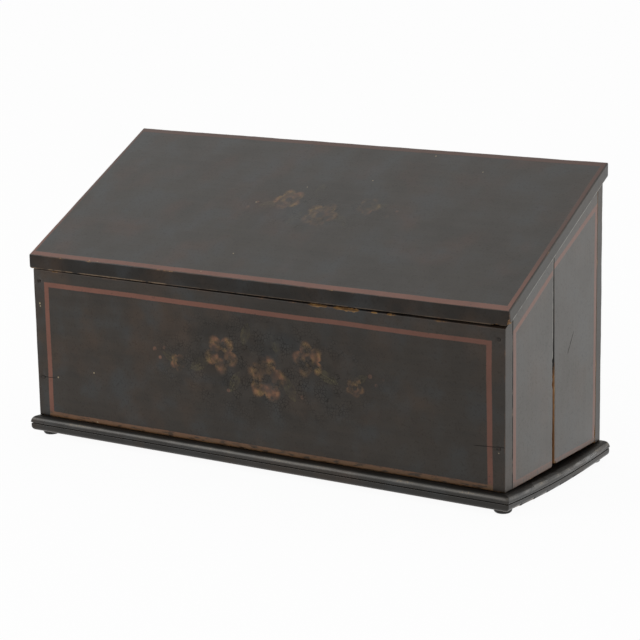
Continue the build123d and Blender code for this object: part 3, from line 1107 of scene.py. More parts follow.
@dataclass
class Board:
    """One board, first as a square blank u wide, v tall and w thick, then worn, then set in its place."""

    name: str
    node: str
    body: str
    size: Triple
    placing: Placing
    covers: dict[str, Cover]
    arris_outer: tuple[float, float, float, float] = (0.7, 0.7, 0.7, 0.7)
    arris_inner: tuple[float, float, float, float] = (0.4, 0.4, 0.4, 0.4)
    corner: float = 1.0
    uneven: float = 0.5
    step: float = 4.0
    windows_u: tuple[Window, ...] = ()
    windows_v: tuple[Window, ...] = ()
    breaks: tuple[Break, ...] = ()
    pits: tuple[Pit, ...] = ()
    hinge_seats: tuple["HingeSeat", ...] = ()
    seed: float = 1.0

    MARK_LIMIT = 14.0
    THROUGH_STEP = 2.2
    SHARP_ANGLE = math.radians(38)
    NOTHING = 1e-9
    # How the arrises are handled: the reach, the waves of wear (size, share and seed), their limits, and how
    # far round a corner the two edges' radii run into each other.
    HANDLED_REACH = 2.5
    WEAR = ((22.0, 1.0, 0), (5.0, 0.5, 3))
    ROUNDING_LIMITS = (0.35, 2.2)
    EDGE_BLUR = 0.3
    # How wood breaks: the fine and the broad roughness, and how quickly a break runs out at its ends.
    FINE_SEED, BROAD_SEED = 11, 23
    BROAD_SHARE, BROAD_SIZE = 0.35, 3.5
    BREAK_REACH = 1.8
    RUN_OUT, RUN_OUT_POWER = 6, 0.7
    # How the hollow round a nail's head is shaped.
    PIT_LAYER = 1.0
    PIT_POWER = 4

    def build(self, finishes: dict[Cover, bpy.types.Material]) -> bpy.types.Object:
        """Makes the board's mesh and dresses it.

        Args:
            finishes: The material of each cover.

        Returns:
            The board, riding on its body in place of its plain node.
        """
        blank, quads, sides = self._blank()
        arris = self._arris_distance(blank)
        shaped = self._round_arrises(self._round_corners(blank))
        shaped, splintered = self._break_wood(shaped)
        shaped = self._sink_pits(shaped)
        placed = self.placing(shaped)
        for seat in self.hinge_seats:
            placed = seat.let_in(placed)
        mesh = bpy.data.meshes.new(self.name)
        mesh.from_pydata((placed * MM).tolist(), [], quads.tolist())
        for cover in Cover:
            mesh.materials.append(finishes[cover])
        mesh.polygons.foreach_set("material_index", [self.covers[side].value for side in sides])
        for mark, values in (("arris", arris), ("splintered", splintered)):
            layer = mesh.attributes.new(mark, "FLOAT", "POINT")
            layer.data.foreach_set("value", values.astype(np.float32))
        self._face_outwards(mesh)
        mesh.shade_smooth()
        mesh.set_sharp_from_angle(angle=self.SHARP_ANGLE)
        piece = bpy.data.objects.new(self.name, mesh)
        bpy.context.collection.objects.link(piece)
        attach(piece, self.body)
        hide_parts(self.node)
        log.info("%s: %d faces", self.name, len(mesh.polygons))
        return piece

    def _blank(self) -> tuple[np.ndarray, np.ndarray, list[str]]:
        """Cuts the square blank's skin into a grid.

        Returns:
            The vertices in millimetres, the faces, and the name of the side that each face is on.
        """
        lines = [
            graded_lines(self.size[0], self.step, self.windows_u),
            graded_lines(self.size[1], self.step, self.windows_v),
            graded_lines(self.size[2], self.THROUGH_STEP),
        ]
        counts = [len(line) for line in lines]
        number = np.full(counts, -1, dtype=int)
        skin = np.zeros(counts, dtype=bool)
        for axis in range(3):
            for end in (0, -1):
                skin[tuple(end if a == axis else slice(None) for a in range(3))] = True
        number[skin] = np.arange(skin.sum())
        places = np.stack(np.meshgrid(*lines, indexing="ij"), axis=-1)[skin]
        quads, sides = [], []
        for axis, names in enumerate((("left", "right"), ("bottom", "top"), ("inner", "outer"))):
            for end, side in zip((0, -1), names):
                sheet = np.take(number, end, axis=axis)
                corners = [sheet[:-1, :-1], sheet[1:, :-1], sheet[1:, 1:], sheet[:-1, 1:]]
                made = np.stack([corner.ravel() for corner in corners], axis=1)
                quads.append(made)
                sides += [side] * len(made)
        return places, np.concatenate(quads), sides

    def _arris_distance(self, blank: np.ndarray) -> np.ndarray:
        """How far each vertex lies from the nearest arris, up to a limit."""
        gaps = np.concatenate([blank, np.array(self.size) - blank], axis=1)
        return np.minimum(np.sort(gaps, axis=1)[:, 1], self.MARK_LIMIT)

    def _at_corners(self, plan: np.ndarray) -> tuple[np.ndarray, np.ndarray, np.ndarray]:
        """The nearest place outside which corners round, the way from it, and which vertices are at a corner.

        Args:
            plan: Where the vertices are across and up.

        Returns:
            The nearest points, the ways from them, and a mark for each vertex.
        """
        middle = np.clip(plan, self.corner, np.array(self.size[:2]) - self.corner)
        off = plan - middle
        return middle, off, (np.abs(off) > self.NOTHING).all(axis=1)

    def _round_corners(self, blank: np.ndarray) -> np.ndarray:
        """Rounds the four corners of the board's outline.

        Args:
            blank: The square blank's vertices.

        Returns:
            The vertices, moved.
        """
        shaped = blank.copy()
        plan = shaped[:, :2]
        middle, off, both = self._at_corners(plan)
        longest = np.abs(off[both]).max(axis=1)
        plan[both] = middle[both] + off[both] * (longest / np.linalg.norm(off[both], axis=1))[:, None]
        return shaped

    def _round_arrises(self, shaped: np.ndarray) -> np.ndarray:
        """Rounds the long edges of both faces, unevenly, as handling does.

        Args:
            shaped: The vertices so far.

        Returns:
            The vertices, moved.
        """
        length, height, thickness = self.size
        gaps = np.stack([shaped[:, 0], length - shaped[:, 0], shaped[:, 1], height - shaped[:, 1]], axis=1)
        inward = np.array([(1.0, 0.0), (-1.0, 0.0), (0.0, 1.0), (0.0, -1.0)])
        edge_gap = gaps.min(axis=1)
        way = inward[gaps.argmin(axis=1)]
        _, off, both = self._at_corners(shaped[:, :2])
        run = np.linalg.norm(off[both], axis=1)
        edge_gap[both] = self.corner - run
        way[both] = -off[both] / run[:, None]
        is_outer = shaped[:, 2] > thickness / 2
        face_gap = np.where(is_outer, thickness - shaped[:, 2], shaped[:, 2])
        share = 1 / (np.maximum(gaps, 0) + self.EDGE_BLUR) ** 2
        share /= share.sum(axis=1, keepdims=True)
        radius = np.where(is_outer, share @ np.array(self.arris_outer), share @ np.array(self.arris_inner))
        near = np.maximum(edge_gap, face_gap) < self.HANDLED_REACH
        wear = np.zeros(len(shaped))
        wear[near] = sum(part * rough_at(shaped[near], size, self.seed + shift) for size, part, shift in self.WEAR)
        radius = radius * np.clip(1 + self.uneven * wear, *self.ROUNDING_LIMITS)
        a, b = radius - edge_gap, radius - face_gap
        turning = (a > self.NOTHING) & (b > self.NOTHING)
        a, b, radius = a[turning], b[turning], radius[turning]
        norm = np.hypot(a, b)
        edge_move = radius - radius * a / norm - edge_gap[turning]
        face_move = radius - radius * b / norm - face_gap[turning]
        worn = shaped.copy()
        worn[turning, :2] += way[turning] * edge_move[:, None]
        worn[turning, 2] += np.where(is_outer[turning], -face_move, face_move)
        return worn

    def _break_wood(self, shaped: np.ndarray) -> tuple[np.ndarray, np.ndarray]:
        """Splits pieces off the arrises.

        Args:
            shaped: The vertices so far.

        Returns:
            The vertices, and how far each was moved.
        """
        broken, moved = shaped.copy(), np.zeros(len(shaped))
        for number, split in enumerate(self.breaks):
            facing = np.array(split.facing) / np.linalg.norm(split.facing)
            inside = (np.array(split.at) - broken) @ facing
            near = inside < split.depth * self.BREAK_REACH
            if split.run_axis is not None:
                run = broken[:, split.run_axis]
                near &= (run > split.start) & (run < split.stop)
            if not near.any():
                continue
            points = broken[near]
            seed = self.seed + number
            fine = rough_at(points, split.grain, seed + self.FINE_SEED)
            broad = rough_at(points, split.grain * self.BROAD_SIZE, seed + self.BROAD_SEED)
            depth = split.depth * (1 + split.jagged * fine) + split.depth * self.BROAD_SHARE * broad
            if split.run_axis is not None:
                place = (points[:, split.run_axis] - split.start) / (split.stop - split.start)
                depth *= np.clip(np.minimum(place, 1 - place) * self.RUN_OUT, 0, 1) ** self.RUN_OUT_POWER
            cut = np.maximum(depth - inside[near], 0)
            broken[near] = points - facing * cut[:, None]
            moved[near] = np.maximum(moved[near], cut)
        return broken, moved

    def _sink_pits(self, shaped: np.ndarray) -> np.ndarray:
        """Sinks the hollows round the nail heads into the outer face.

        Args:
            shaped: The vertices so far.

        Returns:
            The vertices, moved.
        """
        sunk = shaped.copy()
        thickness = self.size[2]
        for pit in self.pits:
            reach = np.hypot(sunk[:, 0] - pit.u, sunk[:, 1] - pit.v) / pit.radius
            outer = (sunk[:, 2] > thickness - self.PIT_LAYER) & (reach < 1)
            sunk[outer, 2] -= pit.depth * np.clip(1 - reach[outer] ** self.PIT_POWER, 0, 1)
        return sunk

    @staticmethod
    def _face_outwards(mesh: bpy.types.Mesh) -> None:
        """Turns every face of a closed mesh outwards.

        Args:
            mesh: The mesh, which is changed.
        """
        work = bmesh.new()
        work.from_mesh(mesh)
        bmesh.ops.recalc_face_normals(work, faces=work.faces)
        work.to_mesh(mesh)
        work.free()


@dataclass(frozen=True)
class HingeSeat:
    """What a hinge takes out of a board: the bed of one leaf and the hollow for the barrel."""

    middle_x: float
    pin: tuple[float, float]
    slope: float
    wood_above: bool
    rear_y: float
    length: float = 38.0
    leaf_width: float = 9.2
    leaf_thickness: float = 1.0
    hollow_radius: float = 2.5
    hollow_length: float = 39.8
    skin: float = 0.6
    gouge_behind: float = 1.2
    gouge_aside: float = 1.0

    PLAY = 0.05
    BED_CLEARANCE = 0.02

    def _hollowed(self, points: np.ndarray) -> np.ndarray:
        """Moves points near the pin to the hollow's wall, away from a place behind the wood.

        Args:
            points: The y and z of each point.

        Returns:
            The y and z of the places on the wall.
        """
        aside = -self.gouge_aside if self.wood_above else self.gouge_aside
        start = np.array((self.rear_y + self.gouge_behind, self.pin[1] + aside))
        way = points - start
        way /= np.linalg.norm(way, axis=1)[:, None]
        from_pin = start - np.array(self.pin)
        back = way @ from_pin
        run = np.sqrt(back**2 - from_pin @ from_pin + self.hollow_radius**2) - back
        return start + way * run[:, None]

    def let_in(self, placed: np.ndarray) -> np.ndarray:
        """Sinks the bed and the hollow.

        Args:
            placed: The board's vertices in their place, in millimetres.

        Returns:
            The vertices, moved.
        """
        sunk = placed.copy()
        off = sunk[:, 1:] - np.array(self.pin)
        up_slope = off @ np.array((math.cos(self.slope), math.sin(self.slope)))
        into_wood = np.array((-math.sin(self.slope), math.cos(self.slope))) * (1 if self.wood_above else -1)
        beside = np.abs(sunk[:, 0] - self.middle_x)
        bed = (beside < self.length / 2 + self.PLAY) & (up_slope > -self.leaf_width - self.PLAY)
        bed &= np.abs(off @ into_wood) < self.skin
        sunk[bed, 1:] += into_wood * (self.leaf_thickness + self.BED_CLEARANCE)
        behind = np.maximum(sunk[bed, 1] - self.rear_y, 0)
        sunk[bed, 1] -= behind
        sunk[bed, 2] -= behind * math.tan(self.slope)
        run = np.linalg.norm(sunk[:, 1:] - np.array(self.pin), axis=1)
        hollow = (beside < self.hollow_length / 2) & (run < self.hollow_radius)
        sunk[hollow, 1:] = self._hollowed(sunk[hollow, 1:])
        return sunk


# ---------------------------------------------------------------------------
# Sub-assemblies
# ---------------------------------------------------------------------------


@dataclass(frozen=True)
class Extent:
    """The lowest and the highest corner of a plain board, in millimetres."""

    low: Vector
    high: Vector

    @classmethod
    def of(cls, node: str) -> "Extent":
        """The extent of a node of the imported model."""
        low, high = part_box(node)
        return cls(low / MM, high / MM)


@dataclass
class Layout:
    """The places and lengths of the box that its boards share, in millimetres."""

    slope_deg: float = 28.0
    lid_under_front: float = 135.4
    seat_gap: float = 0.25
    front_gap: float = 2.0
    front_fall: float = 1.4
    lid_thickness: float = 9.2
    crack_top: float = 0.5
    crack_bottom: float = 3.4
    sound_joint: float = 0.2
    pin: tuple[float, float] = (78.15, 216.3075)
    hinge_x: float = 128.0
    hinge_cuts: tuple[float, ...] = (-19.9, -19.05, 19.05, 19.9)
    nail_inset: float = 5.35
    nail_pit: tuple[float, float] = (2.3, 0.45)
    nail_reach: float = 2.4
    nail_spacing: float = 0.6
    front_nail_heights: tuple[float, ...] = (31.5, 109.5)
    back_nail_heights: tuple[float, ...] = (31.5, 101.5, 171.5)
    front: Extent = field(init=False)
    back: Extent = field(init=False)
    plank: Extent = field(init=False)
    rear_plank: Extent = field(init=False)
    lid: Extent = field(init=False)
    slope: float = field(init=False)
    grade: float = field(init=False)
    front_y: float = field(init=False)
    bottom_z: float = field(init=False)
    width: float = field(init=False)
    middle_x: float = field(init=False)

    def __post_init__(self) -> None:
        """Reads the boards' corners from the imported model."""
        self.front = Extent.of("front_board")
        self.back = Extent.of("back_board")
        self.plank = Extent.of("right_side_front_plank")
        self.rear_plank = Extent.of("right_side_rear_plank")
        self.lid = Extent.of("lid_board")
        self.slope = math.radians(self.slope_deg)
        self.grade = math.tan(self.slope)
        self.front_y = self.front.low.y
        self.bottom_z = self.front.low.z
        self.width = self.front.high.x - self.front.low.x
        self.middle_x = (self.front.low.x + self.front.high.x) / 2

    def lid_under(self, y: Any) -> Any:
        """Height of the closed lid's underside."""
        return self.lid_under_front + (y - self.front_y) * self.grade

    def seat(self, y: Any) -> Any:
        """Height of the side boards' sloping top."""
        return self.lid_under(y) - self.seat_gap

    @property
    def hinge_middles(self) -> tuple[float, float]:
        """Where the middles of the two hinges are across the box."""
        return (self.middle_x - self.hinge_x, self.middle_x + self.hinge_x)

    def hinge_seats(self, wood_above: bool) -> tuple[HingeSeat, ...]:
        """The two hinge seats, in the lid above the pins or in the back board below them."""
        rear_y = self.lid.high.y if wood_above else self.back.high.y
        return tuple(HingeSeat(x, self.pin, self.slope, wood_above, rear_y) for x in self.hinge_middles)

    @staticmethod
    def seat_window(at: float) -> Window:
        """Finer cuts across the edge of a hinge seat."""
        return (at - 0.2, at + 0.25, 0.2)

    def hinge_windows(self, low_x: float) -> tuple[Window, ...]:
        """Finer cuts along a board at the ends of its two hinge seats."""
        return tuple(self.seat_window(x + end - low_x) for x in self.hinge_middles for end in self.hinge_cuts)

    @property
    def nail_places(self) -> tuple[float, float]:
        """How far along the front or back board its two rows of nails stand."""
        return (self.nail_inset, self.width - self.nail_inset)

    def nail_windows(self, places: Iterable[float]) -> tuple[Window, ...]:
        """Finer cuts across a board, round nails at these places."""
        return tuple((at - self.nail_reach, at + self.nail_reach, self.nail_spacing) for at in places)

    def nail_pits(self, heights: Iterable[float]) -> tuple[Pit, ...]:
        """The hollows round the heads of both rows of nails."""
        return tuple(Pit(u, v, *self.nail_pit) for u in self.nail_places for v in heights)


def board_finishes(
    name: str, face: OldPaint, ends: OldPaint, wood: BarePine, edges: OldPaint | BarePine
) -> dict[Cover, bpy.types.Material]:
    """The materials of a board that is painted outside and bare inside.

    Args:
        name: What the materials are called after.
        face: The paint of the outer face.
        ends: The paint across the grain, on the board's ends.
        wood: The bare wood.
        edges: The paint or the wood along the grain, on the board's long edges.

    Returns:
        The material of each cover.
    """
    return {
        Cover.PAINT: face.material(f"{name}_paint"),
        Cover.END: ends.material(f"{name}_end"),
        Cover.WOOD: wood.material(f"{name}_bare"),
        Cover.EDGE: edges.material(f"{name}_edge"),
    }


@dataclass
class FrontBoard:
    """The front board: lined, with a spray of flowers, and splintered along its top."""

    layout: Layout
    top_chips: tuple[tuple[float, float, float], ...] = (
        (258.0, 276.0, 0.9), (279.0, 303.5, 1.2), (311.5, 318.5, 0.6), (325.0, 333.0, 0.7),
    )
    chipped_stretch: Window = (254.0, 337.0, 0.9)
    lining: Lining = Lining(
        outer=((10.7, -4.0), (410.6, -4.0), (409.3, 107.9), (10.7, 109.6)),
        inner=((14.9, 4.3), (406.3, 4.3), (405.1, 104.5), (14.9, 105.8)),
    )
    spray: Spray = Spray(
        blossoms=(
            Blossom(180.0, 71.0, 17.0, 0.3), Blossom(221.0, 57.0, 19.5, 1.1), Blossom(258.0, 76.0, 15.5, 0.7),
            Blossom(140.0, 60.0, 8.5, 0.2), Blossom(298.0, 60.0, 9.0, 1.4),
        ),
        leaves=(
            Leaf(170.0, 66.0, 22.0, 10.0, 3.6), Leaf(197.0, 60.0, 20.0, 9.0, 4.2),
            Leaf(236.0, 62.0, 22.0, 10.0, 5.2), Leaf(200.0, 80.0, 19.0, 9.0, 1.3),
            Leaf(262.0, 70.0, 24.0, 9.0, 5.9), Leaf(232.0, 76.0, 18.0, 8.0, 1.9),
            Leaf(140.0, 60.0, 16.0, 7.0, 2.7), Leaf(294.0, 62.0, 17.0, 7.0, 0.5),
        ),
        berries=(
            Berry(118.0, 68.0, 2.2), Berry(123.0, 62.0, 1.8), Berry(127.0, 70.0, 1.6), Berry(311.0, 70.0, 2.1),
            Berry(316.0, 64.0, 1.7), Berry(322.0, 69.0, 1.5), Berry(186.0, 44.0, 1.8), Berry(252.0, 47.0, 1.9),
        ),
        middle=(218.0, 64.0), reach=125.0, strength=0.85, crackled=0.70,
    )
    splits: tuple[Split, ...] = (
        Split((-1.0, 31.8), (20.0, 32.4), 0.5, 0.75), Split((396.0, 31.4), (422.0, 32.9), 0.45, 0.65),
    )
    flecks: tuple[Fleck, ...] = (
        Fleck(57.2, 41.4, 0.8), Fleck(58.7, 1.8, 0.9), Fleck(5.2, 91.7, 1.0), Fleck(5.7, 89.6, 0.8),
        Fleck(20.6, 33.3, 0.9), Fleck(415.2, 28.4, 0.45),
    )
    wood_low: Colour = tint("553c20")
    wood_high: Colour = tint("8c6a3c")

    def _size(self) -> Triple:
        """The blank's size: the width, the height in front and the thickness."""
        lay = self.layout
        return (lay.width, lay.lid_under_front - lay.front_gap - lay.bottom_z, lay.front.high.y - lay.front.low.y)

    def _place(self, blank: np.ndarray) -> np.ndarray:
        """Sets the blank up as the front board, its top planed to the slope.

        Args:
            blank: The blank's vertices, across, up and through.

        Returns:
            The vertices in their place in the row frame.
        """
        lay, size = self.layout, self._size()
        x = lay.front.low.x + blank[:, 0]
        y = lay.front_y + size[2] - blank[:, 2]
        top = lay.lid_under(y) - lay.front_gap - lay.front_fall * (x - lay.middle_x) / lay.width
        z = lay.bottom_z + blank[:, 1] / size[1] * (top - lay.bottom_z)
        return np.stack([x, y, z], axis=1)

    def _paint(self) -> OldPaint:
        """The decorated face's paint.

        Returns:
            The paint.
        """
        lay = self.layout
        plane = FacePlane((lay.front.low.x, lay.front_y, lay.bottom_z), (1, 0, 0), (0, 0, 1), (0, -1, 0))
        # The face is painted lighter at the left end and darker at the right, as painted light and shade.
        return OldPaint(
            way=Way.WIDE, plane=plane, lining=self.lining, spray=self.spray, splits=self.splits, flecks=self.flecks,
            foot_wear=(0.85, 1.0), tone_across=(1.22, 0.78), rubbing=0.7, ior=1.43,
            low=tint("18130f"), high=tint("2d261f"), wood_low=self.wood_low, wood_high=self.wood_high,
        )

    def build(self) -> bpy.types.Object:
        """Makes the board.

        Returns:
            The finished piece.
        """
        lay, size = self.layout, self._size()
        breaks = tuple(
            Break((0, size[1], size[2]), (0, 1.0, 0.75), depth, 0, start, stop)
            for start, stop, depth in self.top_chips
        )
        board = Board(
            "painted_front_board", "front_board", "box", size, self._place,
            covers(ends=Cover.END, bottom=Cover.WOOD, top=Cover.EDGE),
            arris_outer=(0.6, 0.8, 1.2, 0.35), arris_inner=(0.2, 0.2, 0.2, 0.5), corner=0.5,
            windows_u=(self.chipped_stretch, *lay.nail_windows(lay.nail_places)),
            windows_v=lay.nail_windows(lay.front_nail_heights),
            breaks=breaks, pits=lay.nail_pits(lay.front_nail_heights), seed=1.0,
        )
        wood = BarePine(Way.WIDE, (7.0, 31.0, 12.0))
        # Painted shade: the top edge, which lies under the lid, gets a darker, less glossy copy of the paint.
        edges = OldPaint(
            way=Way.WIDE, rubbing=0.5, low=tint("0c0a08"), high=tint("171310"), gloss=0.6, ior=1.33,
            wood_low=self.wood_low, wood_high=self.wood_high,
        )
        return board.build(board_finishes("front_board", self._paint(), END_GRAIN_PAINT, wood, edges))


@dataclass(frozen=True)
class PlankLine:
    """The line on a side plank: level along the foot, slanted under the lid."""

    start: Spot
    grade: float
    outer_ends: tuple[float, float]
    inner_ends: tuple[float, float]
    half_width: float = 2.1
    foot: tuple[float, float] = (-4.0, 5.0)

    def _outline(self, ends: tuple[float, float], foot: float, off: float) -> tuple[Spot, ...]:
        """An outline between two places along the foot, its top a little off the slanted line's middle."""
        top = tuple((s, self.start[1] + (s - self.start[0]) * self.grade + off) for s in reversed(ends))
        return ((ends[0], foot), (ends[1], foot), *top)

    def lining(self) -> Lining:
        """The line as it is painted."""
        outer = self._outline(self.outer_ends, self.foot[0], self.half_width)
        return Lining(outer, self._outline(self.inner_ends, self.foot[1], -self.half_width))


@dataclass
class SidePlank:
    """One upright-grained plank of a side, lined to match the slope of the lid."""

    layout: Layout
    right: bool
    front: bool
    front_line: PlankLine = PlankLine((20.7, 116.3), 0.541, (11.9, 110.0), (16.1, 110.0))
    rear_line: PlankLine = PlankLine((76.7, 149.4), 0.480, (40.0, 142.9), (40.0, 138.4))
    seam: float = 0.25
    joint_light: tuple[float, float] = (62.0, 155.0)
    short_crack: Split = Split((95.5, 79.6), (105.0, 94.4), 0.8, 0.75)

    SETTLING_ROUNDS = 3

    @property
    def node(self) -> str:
        """The plank's plain node."""
        return f"{'right' if self.right else 'left'}_side_{'front' if self.front else 'rear'}_plank"

    def _gaps(self) -> tuple[float, float]:
        """How far the joint stands open at the top and at the bottom."""
        lay = self.layout
        return (lay.crack_top, lay.crack_bottom) if self.right else (lay.sound_joint, lay.sound_joint)

    @property
    def _low_z(self) -> float:
        """Where the plank stands."""
        return self.layout.bottom_z if self.front else self.layout.rear_plank.low.z

    @property
    def _high_y(self) -> float:
        """Where the plank's rear edge is."""
        return self.layout.plank.high.y if self.front else self.layout.back.low.y

    def _low_y(self, z: Any) -> Any:
        """Where the plank's front edge is at a height.

        Args:
            z: The height, or several heights.

        Returns:
            The place of the edge at each height.
        """
        lay = self.layout
        if self.front:
            return lay.plank.low.y + z * 0
        top, bottom = self._gaps()
        joint = lay.plank.high.y
        share = (z - self._low_z) / (lay.seat(joint + top) - self._low_z)
        return joint + bottom + (top - bottom) * share

    def _size(self) -> Triple:
        """The blank's size: along the depth, up the middle and through.

        Returns:
            The three lengths.
        """
        lay = self.layout
        low_y = self._low_y(self._low_z)
        top = lay.seat((low_y + self._high_y) / 2)
        return (self._high_y - low_y, top - self._low_z, lay.plank.high.x - lay.plank.low.x)

    def _place(self, blank: np.ndarray) -> np.ndarray:
        """Sets the blank up as the plank, its top planed to the slope.

        Args:
            blank: The blank's vertices, across, up and through.

        Returns:
            The vertices in their place in the row frame.
        """
        lay, size, low_z = self.layout, self._size(), self._low_z
        z = low_z + blank[:, 1]
        for _ in range(self.SETTLING_ROUNDS):
            low_y = self._low_y(z)
            y = low_y + blank[:, 0] / size[0] * (self._high_y - low_y)
            z = low_z + blank[:, 1] / size[1] * (lay.seat(y) - low_z)
        x = lay.plank.low.x + blank[:, 2]
        return np.stack([x if self.right else 2 * lay.middle_x - x, y, z], axis=1)

    def _paint(self) -> OldPaint:
        """The lined outer face's paint.

        Returns:
            The paint.
        """
        lay = self.layout
        side = 1 if self.right else -1
        face_x = lay.middle_x + side * (lay.plank.high.x - lay.middle_x)
        plane = FacePlane((face_x, lay.front_y, lay.bottom_z), (0, 1, 0), (0, 0, 1), (side, 0, 0))
        lining = (self.front_line if self.front else self.rear_line).lining()
        edge = lay.plank.low.y + self.seam if self.front else lay.back.low.y - self.seam
        edge -= lay.front_y
        splits = (Split((edge, -2.0), (edge, lay.seat(lay.front_y + edge) - lay.bottom_z), 0.9, 1.0),)
        # Painted highlight, with some worn paint, along the front plank's arris beside the open joint.
        bright = ()
        if self.right and self.front:
            joint = lay.plank.high.y - lay.front_y - 0.6
            low, high = self.joint_light
            bright = (Split((joint, low), (joint, high), 0.85, 0.9),)
        elif self.right:
            splits += (self.short_crack,)
        return OldPaint(
            way=Way.TALL, plane=plane, lining=lining, splits=splits, bright_edges=bright,
            lining_colour=tint("6b3f2e"), lining_worn=tint("52392a"), foot_wear=(0.9, 0.9), rubbing=1.1,
            low=tint("1f1c18"), high=tint("35312b"), ior=1.84, wood_high=tint("b09a74"),
        )

    def build(self) -> bpy.types.Object:
        """Makes the plank.

        Returns:
            The finished piece.
        """
        size = self._size()
        front_arris, rear_arris = (0, 0, size[2]), (size[0], 0, size[2])
        breaks: tuple[Break, ...] = ()
        if self.right and self.front:
            breaks = (
                Break(rear_arris, (1, 0, 0.8), 0.9, 1, 50.0, 76.0, 0.7, 3.0),
                Break(rear_arris, (1, 0, 1), 0.5, 1, 10.0, 26.0, 0.6),
                Break(rear_arris, (1, -1, 1), 1.1),
            )
        elif self.right:
            breaks = (
                Break(front_arris, (-1, 0, 0.9), 0.6, 1, 30.0, 90.0, 0.7, 3.0),
                Break(front_arris, (-1, -1, 1), 1.4),
                Break(rear_arris, (1, 0, 1), 1.0, 1, 1.0, 12.0),
            )
        board = Board(
            f"painted_{self.node}", self.node, "box", size, self._place,
            covers(ends=Cover.EDGE, bottom=Cover.WOOD, top=Cover.WOOD),
            arris_outer=(0.6, 0.6, 0.4, 0.3), arris_inner=(0.2,) * 4, corner=0.5, step=3.0,
             windows_v=((0.0, 30.0, 1.5), (30.0, 92.0, 1.8)) if self.right else (),
            breaks=breaks, seed=5.0 + 2 * self.right + self.front,
        )
        wood = BarePine(
            Way.TALL, (3.0 * self.right, 11.0 * self.front, 5.0), tint("96693a"), tint("6d4422"), tint("3a291c"),
        )
        # The edges in the open joint get painted shade above about 84 mm, where the crack narrows.
        edges = replace(wood, blackened=(84.0, 96.0)) if self.right else wood
        paint = self._paint()
        return board.build(board_finishes(self.node, paint, paint, wood, edges))


@dataclass
class BackBoard:
    """The plain painted back board, with the hinges let into its top."""

    layout: Layout

    def _size(self) -> Triple:
        """The blank's size."""
        lay = self.layout
        return (lay.width, lay.seat(lay.back.high.y) - lay.bottom_z, lay.back.high.y - lay.back.low.y)

    def _place(self, blank: np.ndarray) -> np.ndarray:
        """Sets the blank up as the back board.

        Args:
            blank: The blank's vertices, across, up and through.

        Returns:
            The vertices in their place in the row frame.
        """
        lay, size = self.layout, self._size()
        x = lay.back.low.x + blank[:, 0]
        y = lay.back.low.y + blank[:, 2]
        z = lay.bottom_z + blank[:, 1] / size[1] * (lay.seat(y) - lay.bottom_z)
        return np.stack([x, y, z], axis=1)

    def build(self) -> bpy.types.Object:
        """Makes the board.

        Returns:
            The finished piece.
        """
        lay, size = self.layout, self._size()
        plane = FacePlane((lay.back.low.x, lay.back.high.y, lay.bottom_z), (1, 0, 0), (0, 0, 1), (0, 1, 0))
        board = Board(
            "painted_back_board", "back_board", "box", size, self._place,
            covers(ends=Cover.END, bottom=Cover.WOOD, top=Cover.WOOD),
            arris_outer=(0.8, 0.8, 0.3, 0.3), arris_inner=(0.2,) * 4, uneven=0.6, step=4.5,
            windows_u=(*lay.hinge_windows(lay.back.low.x), *lay.nail_windows(lay.nail_places)),
            windows_v=(*lay.nail_windows(lay.back_nail_heights), (size[1] - 3.0, size[1], 0.5)),
            pits=lay.nail_pits(lay.back_nail_heights),
            hinge_seats=lay.hinge_seats(wood_above=False), seed=9.0,
        )
        paint = OldPaint(way=Way.WIDE, plane=plane, rubbing=1.3, gloss=0.44, high=tint("302c26"))
        wood = BarePine(Way.WIDE, (40.0, 3.0, 71.0))
        return board.build(board_finishes("back_board", paint, END_GRAIN_PAINT, wood, paint))


